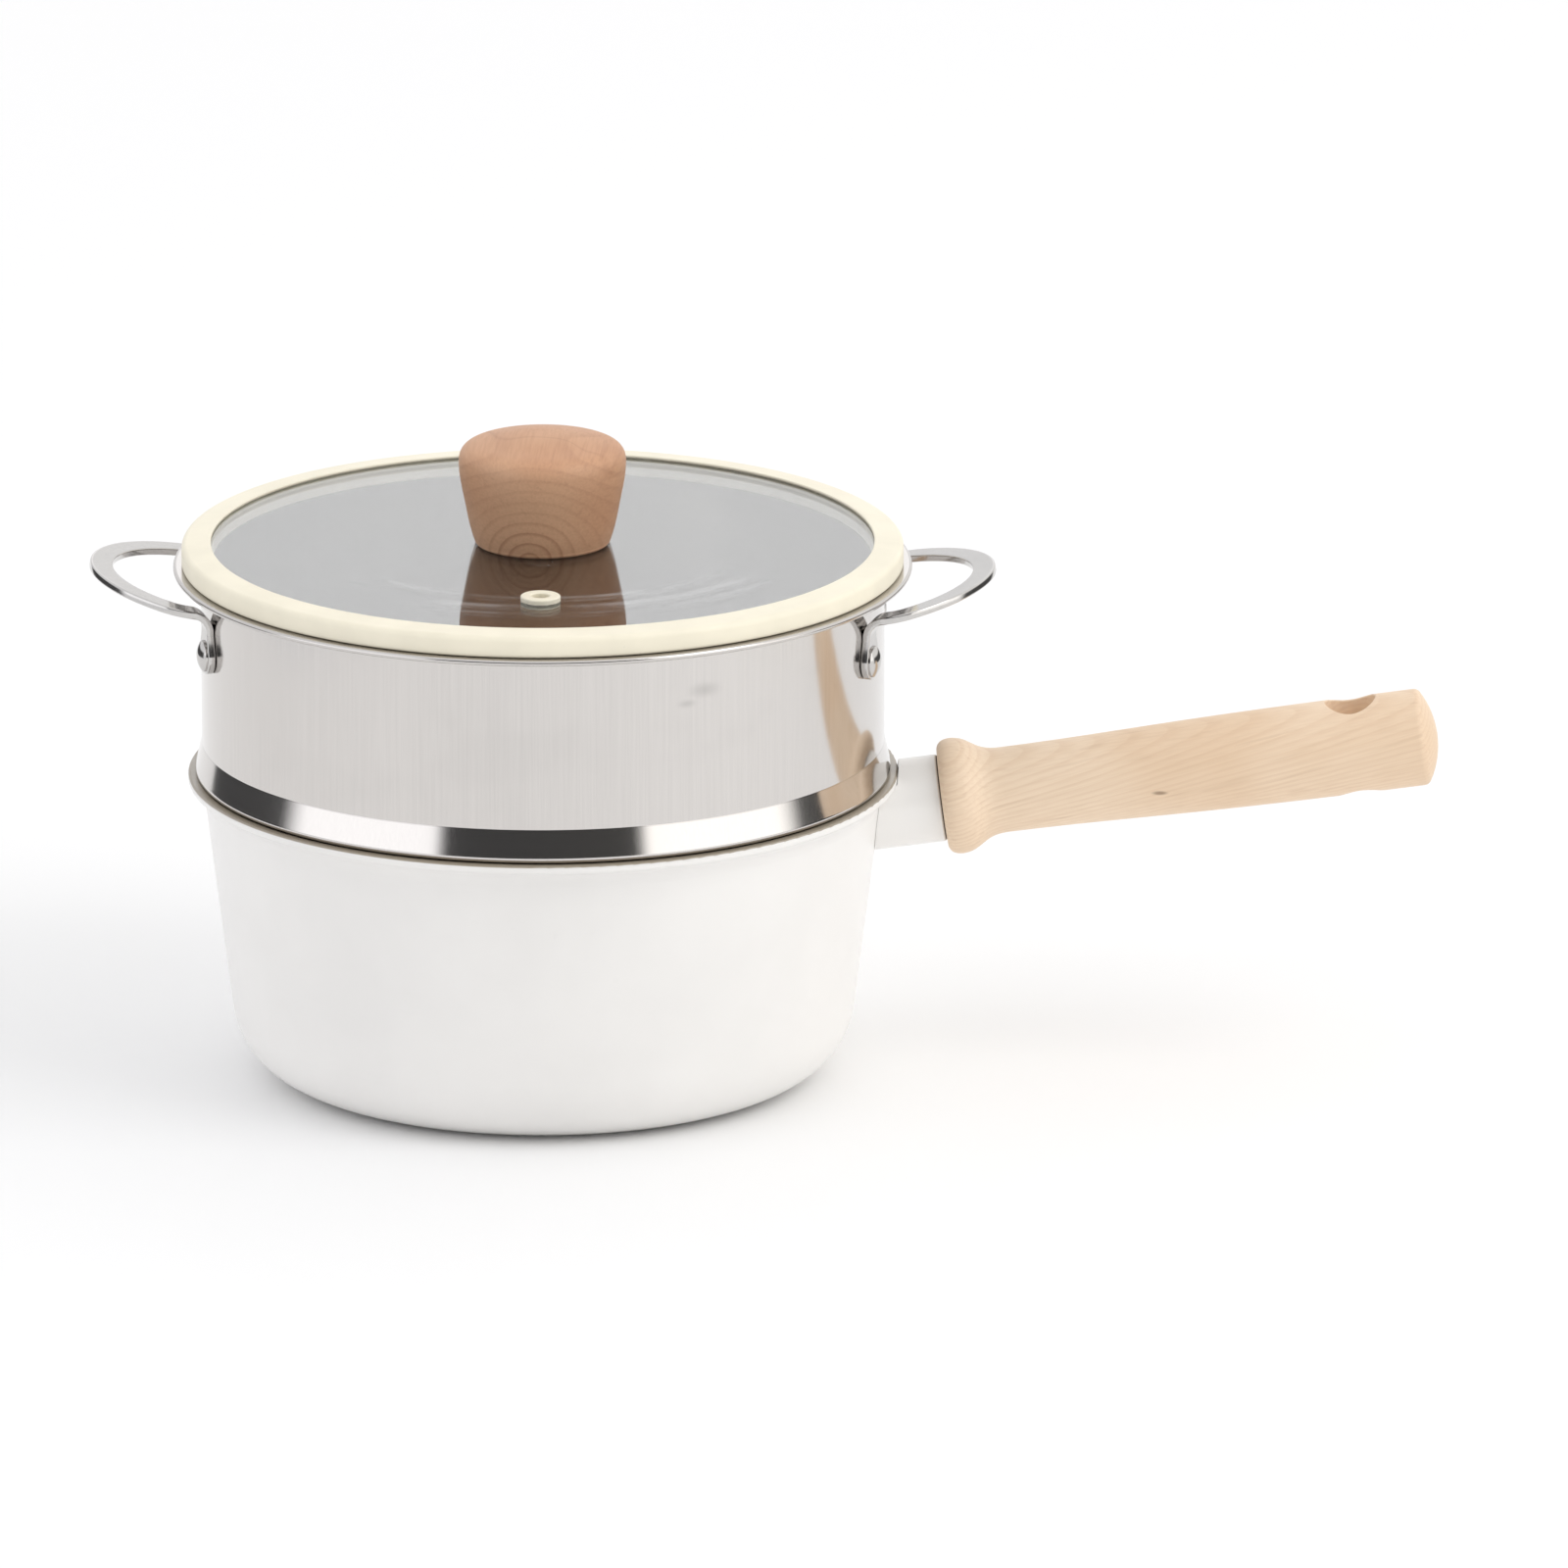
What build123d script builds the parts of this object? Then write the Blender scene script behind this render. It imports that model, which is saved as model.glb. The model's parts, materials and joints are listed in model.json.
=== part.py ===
from build123d import *

import math
import os

# A stovetop set of a coated saucepan, a steel upper pot that stands on its lip, and a glass lid.
# Millimetres. The origin is where the pan's axis meets the surface that it stands on, +Z is up,
# and the long handle points to +X. The front, with the steam vent, looks to -Y.

# Saucepan
pan_height = 84.0
pan_lip_thickness = 1.8
pan_mouth_radius = 93.0
pan_lip_width = 3.6
pan_heel_radius = 82.4
pan_corner_radius = 21.0
pan_wall = 2.0
pan_floor = 3.2
pan_lip_underside_drop = 2.6
pan_lip_bend_radius = 6.0
pan_lip_edge_radius = 0.7
pan_mouth_bend_radius = 3.8

# Steel disc pressed into the underside of the pan
base_disc_setback = 1.4
base_disc_thickness = 1.2
base_disc_fit = 0.05
base_groove_count = 4
base_groove_width = 1.0
base_groove_depth = 0.4
base_groove_inner_radius = 22.0
base_groove_spacing = 10.0

# Long handle: the axis passes through the joint between the socket and the grip
handle_rise_deg = 7.5
handle_joint_beyond_lip = 11.7
handle_joint_drop = 8.1
socket_radius = 11.9
socket_wall = 2.0
socket_end_plate = 3.0
socket_weld_gap = 0.05
socket_lip_gap = 0.15
socket_edge_radius = 0.5
gasket_thickness = 0.4
gasket_inset = 0.4
stud_radius = 3.0
stud_hole_gap = 0.2
stud_head_across_flats = 10.0
stud_head_height = 4.0
stud_length = 26.0
handle_insert_radius = 4.6
handle_insert_length = 22.0
handle_insert_setback = 1.0
handle_insert_fit = 0.03

# Turned wooden grip, distances along its axis from the face that meets the socket
grip_length = 135.7
grip_face_radius = 13.6
grip_bead_radius = 15.6
grip_bead_place = 5.6
grip_neck_radius = 11.6
grip_neck_place = 17.0
grip_collar_flare_share = 0.25
grip_middle_radius = 12.6
grip_middle_place = 66.0
grip_swell_radius = 13.2
grip_swell_from_end = 9.0
grip_end_edge_radius = 2.2
grip_end_ball_radius = 24.0
hanging_hole_radius = 6.9
hanging_hole_from_end = 22.4
hanging_hole_edge_radius = 0.4

# Upper pot, drawn from one steel sheet
pot_sheet = 0.8
pot_wall_height = 49.1
pot_flange_width = 7.5
pot_flange_curl_radius = 0.8
pot_rim_bend_radius = 1.6
pot_flare_height = 9.05
pot_flare_width = 2.0
pot_seam_bend_radius = 1.0
pot_seat_setback = 1.8
pot_seat_bend_radius = 0.9
pot_spigot_gap = 0.7
pot_spigot_bend_radius = 1.4
pot_spigot_depth = 12.0
pot_floor_corner_radius = 6.0
pot_floor_ring_setback = 31.0
pot_floor_ring_height = 1.2
pot_floor_ring_bend_radius = 2.0
pot_turn_deg = -1.8
rest_gap = 0.15

# Strap loops riveted to the upper pot
loop_length = 30.0
loop_tip_above_rim = 0.4
loop_rise_deg = 12.0
loop_half_angle_deg = 17.6
loop_strap_width = 6.2
loop_strap_thickness = 2.0
loop_knee_radius = 10.0
loop_leg_overlap = 1.0
loop_bend_radius = 5.5
loop_plate_radius = 5.0
loop_wall_gap = 0.05

# Rivets of the loops
rivet_drop = 11.7
rivet_shank_radius = 2.0
rivet_hole_gap = 0.05
rivet_head_radius = 4.3
rivet_head_height = 1.9
rivet_head_rim = 0.5
rivet_tail_radius = 3.6
rivet_tail_height = 1.0
rivet_seat_gap = 0.1

# Glass lid
glass_thickness = 4.0
glass_top_above_rim = 5.7
glass_edge_radius = 0.8
glass_screw_hole_radius = 4.0
glass_vent_hole_radius = 4.0

# Soft rim that grips the edge of the glass and plugs the pot
seal_setback = 2.3
seal_rim_width = 4.4
seal_lip_width = 3.6
seal_lip_rise = 0.9
seal_shoulder_drop = 0.7
seal_shoulder_radius = 1.6
seal_foot_radius = 0.9
seal_skirt_gap = 0.8
seal_skirt_wall = 1.8
seal_skirt_depth = 2.2
seal_grip_gap = 0.05
seal_small_radius = 0.4

# Wooden knob, heights from the glass
knob_base_radius = 18.5
knob_base_edge_radius = 1.2
knob_widest_radius = 22.7
knob_widest_height = 23.0
knob_crown_height = 8.0
knob_side_bulge_share = 0.63
knob_side_flare_share = 0.4
knob_insert_radius = 3.6
knob_insert_length = 13.0
knob_insert_setback = 1.0
knob_insert_fit = 0.03

# Screw that holds the knob, with its washer and cushion below the glass
knob_screw_radius = 2.4
knob_screw_reach = 12.0
knob_screw_head_radius = 4.6
knob_screw_head_height = 2.8
knob_screw_head_edge_radius = 1.0
knob_screw_slot_width = 1.2
knob_screw_slot_depth = 1.2
screw_fit = 0.05
knob_cushion_radius = 9.0
knob_cushion_thickness = 1.0
knob_washer_radius = 8.0
knob_washer_thickness = 1.2

# Steam vent in the glass
vent_distance = 59.3
vent_flange_radius = 5.4
vent_flange_height = 1.4
vent_flange_edge_radius = 0.5
vent_bore_radius = 2.5
vent_neck_gap = 0.05

# Length by which a cutting tool runs past what it cuts
overrun = 5.0

# Values worked out from the sizes above
pan_lean = (pan_mouth_radius - pan_heel_radius) / pan_height
pan_lip_radius = pan_mouth_radius + pan_lip_width
base_disc_radius = pan_heel_radius - pan_corner_radius - base_disc_setback
handle_joint_reach = pan_lip_radius + handle_joint_beyond_lip
handle_joint = (handle_joint_reach, 0, pan_height - handle_joint_drop)
handle_rise = math.radians(handle_rise_deg)
handle_plane = Plane(
    origin=handle_joint,
    x_dir=(0, 1, 0),
    z_dir=(math.cos(handle_rise), 0, math.sin(handle_rise)),
)
grip_swell_place = grip_length - grip_swell_from_end
pot_floor_height = pan_height - pot_spigot_depth
pot_spigot_radius = pan_heel_radius + pan_lean * pot_floor_height - pan_wall - pot_spigot_gap
pot_floor_ring_radius = pot_spigot_radius - pot_floor_ring_setback
pot_seat_height = pan_height + rest_gap
pot_seat_radius = pan_lip_radius - pot_seat_setback
pot_seam_height = pot_seat_height + pot_flare_height
pot_wall_radius = pot_seat_radius - pot_flare_width
pot_rim_height = pot_seam_height + pot_wall_height
pot_flange_radius = pot_wall_radius + pot_flange_width
loop_reach = pot_wall_radius + loop_length
loop_tip_height = pot_rim_height + loop_tip_above_rim
seal_radius = pot_flange_radius - seal_setback
seal_skirt_radius = pot_wall_radius - pot_sheet - seal_skirt_gap
glass_radius = seal_radius - seal_rim_width
seal_inner_radius = glass_radius - seal_lip_width
glass_top_height = pot_rim_height + glass_top_above_rim
glass_bottom_height = glass_top_height - glass_thickness
seal_foot_height = pot_rim_height + rest_gap
cushion_bottom_height = glass_bottom_height - knob_cushion_thickness
washer_bottom_height = cushion_bottom_height - knob_washer_thickness
knob_height = knob_widest_height + knob_crown_height


def turned(points, radii):
    """A solid turned about Z from a closed outline of (radius, height) points, each with its rounding."""
    outline = FilletPolyline(*points, radius=radii, close=True)
    return revolve(Plane.XZ * make_face(outline), Axis.Z)


def turned_sheet(points, radii, sheet):
    """A sheet of even thickness turned about Z along an open centre line."""
    centre_line = FilletPolyline(*points, radius=radii)
    return revolve(Plane.XZ * trace(centre_line, sheet), Axis.Z)


def rod(radius, bottom, top):
    """An upright cylinder on Z between two heights."""
    return Pos(0, 0, bottom) * Cylinder(radius, top - bottom, align=(Align.CENTER, Align.CENTER, Align.MIN))


def washer(radius, hole_radius, bottom, top):
    """A flat ring on Z between two heights."""
    return rod(radius, bottom, top) - rod(hole_radius, bottom - overrun, top + overrun)


def pan_outside_radius(height):
    """Outside of the pan's leaning wall at a height, its rounded foot left out."""
    return pan_heel_radius + pan_lean * height


def pan_body():
    """The pan: floor, rounded foot, leaning wall and the lip that is turned outward."""
    under_lip = pan_height - pan_lip_thickness
    lip_root = under_lip - pan_lip_underside_drop
    inner_mouth = pan_outside_radius(pan_height) - pan_wall
    inner_heel = pan_outside_radius(pan_floor) - pan_wall
    points = [
        (0, 0),
        (pan_heel_radius, 0),
        (pan_outside_radius(lip_root), lip_root),
        (pan_lip_radius, under_lip),
        (pan_lip_radius, pan_height),
        (inner_mouth, pan_height),
        (inner_heel, pan_floor),
        (0, pan_floor),
    ]
    radii = [
        0,
        pan_corner_radius,
        pan_lip_bend_radius,
        pan_lip_edge_radius,
        pan_lip_edge_radius,
        pan_mouth_bend_radius,
        pan_corner_radius - pan_wall,
        0,
    ]
    recess = rod(base_disc_radius + base_disc_fit, -overrun, base_disc_thickness + base_disc_fit)
    return turned(points, radii) - recess


def pan_base_disc():
    """The steel disc in the underside, flush with the surface and turned with ring grooves."""
    disc = rod(base_disc_radius, 0, base_disc_thickness)
    for number in range(base_groove_count):
        inner = base_groove_inner_radius + number * base_groove_spacing
        disc -= washer(inner + base_groove_width, inner, -overrun, base_groove_depth)
    return disc


def pan_envelope():
    """Everything that the handle's socket keeps clear of: the pan, its lip and what stands on it."""
    shelf = pan_height - pan_lip_thickness - socket_lip_gap
    root = shelf - pan_lip_underside_drop
    above = pan_height + socket_radius + overrun
    points = [
        (0, 0),
        (pan_heel_radius + socket_weld_gap, 0),
        (pan_outside_radius(root) + socket_weld_gap, root),
        (pan_lip_radius + socket_lip_gap, shelf),
        (pan_lip_radius + socket_lip_gap, above),
        (0, above),
    ]
    return turned(points, [0, pan_corner_radius, pan_lip_bend_radius, 0, 0, 0])


def handle_socket():
    """The short tube welded to the pan, closed by a plate at the grip's end."""
    reach_back = handle_joint_reach - pan_heel_radius
    tube = rod(socket_radius, -reach_back, 0)
    tube = fillet(tube.edges().group_by(Axis.Z)[-1], socket_edge_radius)
    tube -= rod(socket_radius - socket_wall, -reach_back - overrun, -socket_end_plate)
    tube -= rod(stud_radius + stud_hole_gap, -socket_end_plate - overrun, overrun)
    return handle_plane * tube - pan_envelope()


def handle_gasket():
    """The thin dark washer between the socket and the wood."""
    ring = washer(socket_radius - gasket_inset, stud_radius + stud_hole_gap, 0, gasket_thickness)
    return handle_plane * ring


def handle_stud():
    """The bolt whose head sits in the socket and whose shank is screwed into the grip."""
    shank = rod(stud_radius, -socket_end_plate, stud_length)
    hexagon = RegularPolygon(stud_head_across_flats / 2, 6, major_radius=False)
    head = Pos(0, 0, -socket_end_plate - stud_head_height) * extrude(hexagon, stud_head_height)
    return handle_plane * (shank + head)


def handle_thread_insert():
    """The threaded bush set into the end of the grip."""
    start = gasket_thickness + handle_insert_setback
    bush = washer(handle_insert_radius, stud_radius + screw_fit, start, start + handle_insert_length)
    return handle_plane * bush


def grip_outline():
    """The grip's half outline in (radius, distance) points, from the socket to the far end."""
    start = gasket_thickness
    end = start + grip_length
    face = Line((0, start), (grip_face_radius, start))
    collar = Spline(
        (grip_face_radius, start),
        (grip_bead_radius, start + grip_bead_place),
        (grip_neck_radius, start + grip_neck_place),
        tangents=[(1, grip_collar_flare_share), (0, 1)],
    )
    body = Spline(
        (grip_neck_radius, start + grip_neck_place),
        (grip_middle_radius, start + grip_middle_place),
        (grip_swell_radius, start + grip_swell_place),
        tangents=[(0, 1), (0, 1)],
    )
    return face, collar, body, end


def handle_grip():
    """The turned wooden grip with its collar, its hanging hole and the bore for the bush."""
    face, collar, body, end = grip_outline()

    # The far end is a ball's cap, and a small arc inside the ball rounds its edge
    ball_centre = Vector(0, end - grip_end_ball_radius)
    edge_reach = grip_swell_radius - grip_end_edge_radius
    edge_rise = math.sqrt((grip_end_ball_radius - grip_end_edge_radius) ** 2 - edge_reach ** 2)
    edge_centre = ball_centre + Vector(edge_reach, edge_rise)
    edge_end = ball_centre + (edge_centre - ball_centre).normalized() * grip_end_ball_radius
    side = Line(body @ 1, (grip_swell_radius, edge_centre.Y))
    edge = TangentArc((grip_swell_radius, edge_centre.Y), (edge_end.X, edge_end.Y), tangent=(0, 1))
    crown = TangentArc((edge_end.X, edge_end.Y), (0, end), tangent=edge % 1)
    close = Line((0, end), (0, gasket_thickness))
    outline = make_face(Wire([face, collar, body, side, edge, crown, close]))
    wood = revolve(Plane.XZ * outline, Axis.Z)

    bore_end = gasket_thickness + handle_insert_setback + handle_insert_length + handle_insert_fit
    wood -= rod(handle_insert_radius + handle_insert_fit, -overrun, bore_end)
    wood -= rod(stud_radius + stud_hole_gap, -overrun, stud_length + stud_hole_gap)

    hole_centre = Pos(0, 0, end - hanging_hole_from_end) * Rot(90, 0, 0)
    wood -= hole_centre * Cylinder(hanging_hole_radius, 2 * grip_bead_radius + overrun)
    hole_rims = wood.edges().filter_by(GeomType.BSPLINE).filter_by(
        lambda rim: abs(rim.center().Z - hole_centre.position.Z) < hanging_hole_radius
    )
    wood = fillet(hole_rims, hanging_hole_edge_radius)
    return handle_plane * wood


def upper_pot():
    """The upper pot: floor, spigot inside the pan, seat on its lip, flare, wall and flange."""
    half = pot_sheet / 2
    spigot = pot_spigot_radius - half
    wall = pot_wall_radius - half
    floor = pot_floor_height + half
    ring_floor = floor + pot_floor_ring_height
    seat = pot_seat_height + half
    flange = pot_rim_height - half
    curl_centre = (pot_flange_radius - pot_flange_curl_radius, pot_rim_height - pot_flange_curl_radius)
    points = [
        (0, ring_floor),
        (pot_floor_ring_radius, ring_floor),
        (pot_floor_ring_radius + pot_floor_ring_height, floor),
        (spigot, floor),
        (spigot, seat),
        (pot_seat_radius - half, seat),
        (wall, pot_seam_height),
        (wall, flange),
        (curl_centre[0], flange),
    ]
    radii = [
        pot_floor_ring_bend_radius,
        pot_floor_ring_bend_radius,
        pot_floor_corner_radius,
        pot_spigot_bend_radius,
        pot_seat_bend_radius,
        pot_seam_bend_radius,
        pot_rim_bend_radius,
    ]
    body = turned_sheet(points, radii, pot_sheet)
    curl = revolve(Plane.XZ * (Pos(*curl_centre) * Circle(pot_flange_curl_radius)), Axis.Z)
    body += curl
    for hole in rivet_places():
        body -= hole * rod(rivet_shank_radius + rivet_hole_gap, -loop_bend_radius, loop_bend_radius)
    return body


# Frames of a loop, worked out for a loop whose middle points to +X
loop_rise = math.radians(loop_rise_deg)
loop_out = Vector(math.cos(loop_rise), 0, math.sin(loop_rise))
loop_normal = Vector(-math.sin(loop_rise), 0, math.cos(loop_rise))
loop_tip = (
    Vector(loop_reach, 0, loop_tip_height)
    - loop_out * (loop_strap_width / 2)
    - loop_normal * (loop_strap_thickness / 2)
)
loop_plane = Plane(origin=loop_tip, x_dir=loop_out, z_dir=loop_normal)


def leg_frame(side):
    """The frame at a leg's foot, side +1 or -1: its x leaves the wall and its y points up the plate."""
    angle = math.radians(side * loop_half_angle_deg)
    outward = Vector(math.cos(angle), math.sin(angle), 0)
    foot = outward * (pot_wall_radius + loop_wall_gap + loop_strap_thickness / 2)
    height = loop_tip.Z + math.tan(loop_rise) * (foot.X - loop_tip.X)
    bend_axis = outward.cross(loop_normal).normalized()
    return Plane(origin=(foot.X, foot.Y, height), x_dir=outward, z_dir=bend_axis)


def leg_direction(frame):
    """The way that a leg leaves its bend, in the plane of the loop."""
    along = frame.z_dir.cross(loop_normal).normalized()
    if along.dot(frame.x_dir) < 0:
        along = along * -1
    return along


def leg_start(side):
    """How far from the corner at a leg's foot its bend ends."""
    frame = leg_frame(side)
    turn = math.acos(frame.y_dir.dot(leg_direction(frame)))
    return loop_bend_radius * math.tan(turn / 2)


def loop_ring():
    """The flat part of a loop: a strap that runs from leg to leg round the tip."""
    frame = leg_frame(1)
    start = loop_plane.to_local_coords(frame.origin + leg_direction(frame) * leg_start(1))
    leaving = loop_plane.to_local_coords(loop_plane.origin + leg_direction(frame))

    # A knee arc leaves each leg and meets, without a corner, the wide arc whose end is the tip
    knee_centre = start + Vector(leaving.Y, -leaving.X) * loop_knee_radius
    wide_radius = (knee_centre.length ** 2 - loop_knee_radius ** 2) / (2 * (-knee_centre.X - loop_knee_radius))
    wide_centre = Vector(-wide_radius, 0)
    meeting = wide_centre + (knee_centre - wide_centre).normalized() * wide_radius

    near_knee = TangentArc((start.X, start.Y), (meeting.X, meeting.Y), tangent=(leaving.X, leaving.Y))
    wide = ThreePointArc((meeting.X, meeting.Y), (0, 0), (meeting.X, -meeting.Y))
    far_knee = TangentArc((start.X, -start.Y), (meeting.X, -meeting.Y), tangent=(leaving.X, -leaving.Y))
    line = Wire([near_knee, wide, far_knee])
    strap = extrude(trace(line, loop_strap_width), loop_strap_thickness / 2, both=True)
    return loop_plane * strap


def loop_leg(side):
    """A leg's bend down to the wall and the plate that lies on the wall."""
    frame = leg_frame(side)
    along = leg_direction(frame) * (leg_start(side) + loop_leg_overlap)
    end = frame.to_local_coords(frame.origin + along)
    line = FilletPolyline((0, -rivet_drop), (0, 0), (end.X, end.Y), radius=loop_bend_radius)
    bend = extrude(trace(line, loop_strap_thickness), loop_strap_width / 2, both=True)
    foot = frame * bend

    plate_plane = Plane(origin=frame.origin, x_dir=frame.z_dir, z_dir=frame.x_dir)
    up = plate_plane.to_local_coords(frame.origin + frame.y_dir).Y
    eye = Pos(0, -up * rivet_drop) * Circle(loop_plate_radius)
    neck = Pos(0, -up * loop_bend_radius) * Rectangle(loop_strap_width, loop_leg_overlap)
    outline = make_hull((eye + neck).edges())
    plate = plate_plane * extrude(outline, loop_strap_thickness / 2, both=True)
    hole = rivet_frame(side) * rod(rivet_shank_radius + rivet_hole_gap, -overrun, overrun)
    return foot + plate - hole


def rivet_frame(side):
    """The frame of a rivet on the loop that points to +X: its z leaves the wall at the plate's face."""
    frame = leg_frame(side)
    centre = frame.origin - frame.y_dir * rivet_drop + frame.x_dir * (loop_strap_thickness / 2)
    return Plane(origin=centre, z_dir=frame.x_dir).location


def loop_turns():
    """How far the left and the right loop are turned about Z."""
    return {"left": pot_turn_deg + 180, "right": pot_turn_deg}


def rivet_places():
    """The frames of all four rivets on the pot."""
    return [Rot(0, 0, turn) * rivet_frame(side) for turn in loop_turns().values() for side in (1, -1)]


def loop_handle(turn):
    """One strap loop with its two plates."""
    strap = loop_ring() + loop_leg(1) + loop_leg(-1)
    return Rot(0, 0, turn) * strap


def rivet():
    """A domed rivet: its head stands on z = 0 and its tail is spread inside the pot."""
    wall_inner = -(loop_strap_thickness + loop_wall_gap + pot_sheet + rivet_seat_gap)
    crown = rivet_head_height - rivet_head_rim
    ball_radius = (rivet_head_radius ** 2 + crown ** 2) / (2 * crown)
    ball = Pos(0, 0, rivet_head_height - ball_radius) * Sphere(ball_radius)
    head = rod(rivet_head_radius, 0, rivet_head_height) & ball
    shank = rod(rivet_shank_radius, wall_inner, 0)
    tail = rod(rivet_tail_radius, wall_inner - rivet_tail_height, wall_inner)
    tail = fillet(tail.edges().group_by(Axis.Z)[0], rivet_tail_height / 2)
    return head + shank + tail


def loop_rivets(turn):
    """The two rivets of one loop, as separate solids."""
    return [Rot(0, 0, turn) * rivet_frame(side) * rivet() for side in (1, -1)]


def lid_glass():
    """The flat glass with its hole for the knob's screw and its hole for the vent."""
    disc = rod(glass_radius, glass_bottom_height, glass_top_height)
    disc = fillet(disc.edges(), glass_edge_radius)
    bottom = glass_bottom_height - overrun
    top = glass_top_height + overrun
    disc -= rod(glass_screw_hole_radius, bottom, top)
    disc -= Pos(0, -vent_distance, 0) * rod(glass_vent_hole_radius, bottom, top)
    return disc


def lid_rim_seal():
    """The soft rim: lip over the glass, outer band, foot on the flange and skirt in the pot."""
    lip_top = glass_top_height + seal_lip_rise
    groove_radius = glass_radius + seal_grip_gap
    groove_top = glass_top_height + seal_grip_gap
    groove_bottom = glass_bottom_height - seal_grip_gap
    skirt_inner = seal_skirt_radius - seal_skirt_wall
    skirt_bottom = pot_rim_height - seal_skirt_depth
    points = [
        (seal_inner_radius, groove_top),
        (groove_radius, groove_top),
        (groove_radius, groove_bottom),
        (skirt_inner, groove_bottom),
        (skirt_inner, skirt_bottom),
        (seal_skirt_radius, skirt_bottom),
        (seal_skirt_radius, seal_foot_height),
        (seal_radius, seal_foot_height),
        (seal_radius, lip_top - seal_shoulder_drop),
        (seal_inner_radius, lip_top),
    ]
    radii = [
        0,
        glass_edge_radius,
        glass_edge_radius,
        seal_small_radius,
        seal_small_radius,
        seal_small_radius,
        seal_small_radius,
        seal_foot_radius,
        seal_shoulder_radius,
        seal_small_radius,
    ]
    return turned(points, radii)


def lid_knob():
    """The turned wooden knob: a flared side and a crowned top."""
    widest = (knob_widest_radius, knob_widest_height)
    base_start = (knob_base_radius - knob_base_edge_radius, 0)
    base_end = (knob_base_radius, knob_base_edge_radius)
    side_middle = (
        knob_base_radius + (knob_widest_radius - knob_base_radius) * knob_side_bulge_share,
        (knob_base_edge_radius + knob_widest_height) / 2,
    )
    base = Line((0, 0), base_start)
    base_edge = TangentArc(base_start, base_end, tangent=(1, 0))
    side = Spline(base_end, side_middle, widest, tangents=[(knob_side_flare_share, 1), (0, 1)])
    eighth = math.pi / 4
    crown_middle = (
        knob_widest_radius * math.cos(eighth),
        knob_widest_height + knob_crown_height * math.sin(eighth),
    )
    crown = Spline(widest, crown_middle, (0, knob_height), tangents=[(0, 1), (-1, 0)])
    axis = Line((0, knob_height), (0, 0))
    outline = make_face(Wire([base, base_edge, side, crown, axis]))
    wood = revolve(Plane.XZ * outline, Axis.Z)
    bore_top = knob_insert_setback + knob_insert_length + knob_insert_fit
    wood -= rod(knob_insert_radius + knob_insert_fit, -overrun, bore_top)
    return Pos(0, 0, glass_top_height) * wood


def knob_thread_insert():
    """The threaded bush inside the knob."""
    bottom = glass_top_height + knob_insert_setback
    return washer(knob_insert_radius, knob_screw_radius + screw_fit, bottom, bottom + knob_insert_length)


def knob_screw():
    """The screw that comes up through the glass into the knob."""
    shank = rod(knob_screw_radius, washer_bottom_height, glass_top_height + knob_screw_reach)
    head = rod(knob_screw_head_radius, washer_bottom_height - knob_screw_head_height, washer_bottom_height)
    head = fillet(head.edges().group_by(Axis.Z)[0], knob_screw_head_edge_radius)
    slot_centre = washer_bottom_height - knob_screw_head_height
    slot = Pos(0, 0, slot_centre) * Box(
        2 * knob_screw_head_radius, knob_screw_slot_width, 2 * knob_screw_slot_depth
    )
    return shank + head - slot


def knob_cushion():
    """The soft washer between the glass and the steel washer."""
    hole = knob_screw_radius + screw_fit
    return washer(knob_cushion_radius, hole, cushion_bottom_height, glass_bottom_height)


def knob_washer():
    """The steel washer under the screw's head."""
    hole = knob_screw_radius + screw_fit
    return washer(knob_washer_radius, hole, washer_bottom_height, cushion_bottom_height)


def vent_grommet():
    """The soft eyelet in the glass: a flange on each face and an open bore."""
    neck = glass_vent_hole_radius - vent_neck_gap
    top = glass_top_height + vent_flange_height
    bottom = glass_bottom_height - vent_flange_height
    points = [
        (vent_bore_radius, bottom),
        (vent_flange_radius, bottom),
        (vent_flange_radius, glass_bottom_height),
        (neck, glass_bottom_height),
        (neck, glass_top_height),
        (vent_flange_radius, glass_top_height),
        (vent_flange_radius, top),
        (vent_bore_radius, top),
    ]
    edge = vent_flange_edge_radius
    radii = [edge, edge, 0, 0, 0, 0, edge, edge]
    return Pos(0, -vent_distance, 0) * turned(points, radii)


def all_pieces():
    """Every sub-part under its own name."""
    turns = loop_turns()
    return {
        "pan_body": pan_body(),
        "pan_base_disc": pan_base_disc(),
        "handle_socket": handle_socket(),
        "handle_gasket": handle_gasket(),
        "handle_stud": handle_stud(),
        "handle_thread_insert": handle_thread_insert(),
        "handle_grip": handle_grip(),
        "upper_pot": upper_pot(),
        "left_loop_handle": loop_handle(turns["left"]),
        "right_loop_handle": loop_handle(turns["right"]),
        "left_loop_rivets": loop_rivets(turns["left"]),
        "right_loop_rivets": loop_rivets(turns["right"]),
        "lid_glass": lid_glass(),
        "lid_rim_seal": lid_rim_seal(),
        "lid_knob": lid_knob(),
        "knob_thread_insert": knob_thread_insert(),
        "knob_screw": knob_screw(),
        "knob_cushion": knob_cushion(),
        "knob_washer": knob_washer(),
        "vent_grommet": vent_grommet(),
    }


def write_pieces():
    """Write one STEP file for each sub-part."""
    os.makedirs("parts", exist_ok=True)
    for name, piece in all_pieces().items():
        solids = piece if isinstance(piece, list) else piece.solids()
        flat = [solid for part in solids for solid in part.solids()]
        export_step(Compound(children=flat), f"parts/{name}.step")
        print(name, len(flat), "solids", round(sum(solid.volume for solid in flat), 1), "mm3")


write_pieces()
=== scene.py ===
"""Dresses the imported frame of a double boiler: a coated saucepan, a steel upper pot and a glass lid."""

import json
import logging
import math
from collections.abc import Callable
from dataclasses import dataclass, field
from enum import Enum

import bmesh
import bpy
from mathutils import Matrix, Vector

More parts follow.
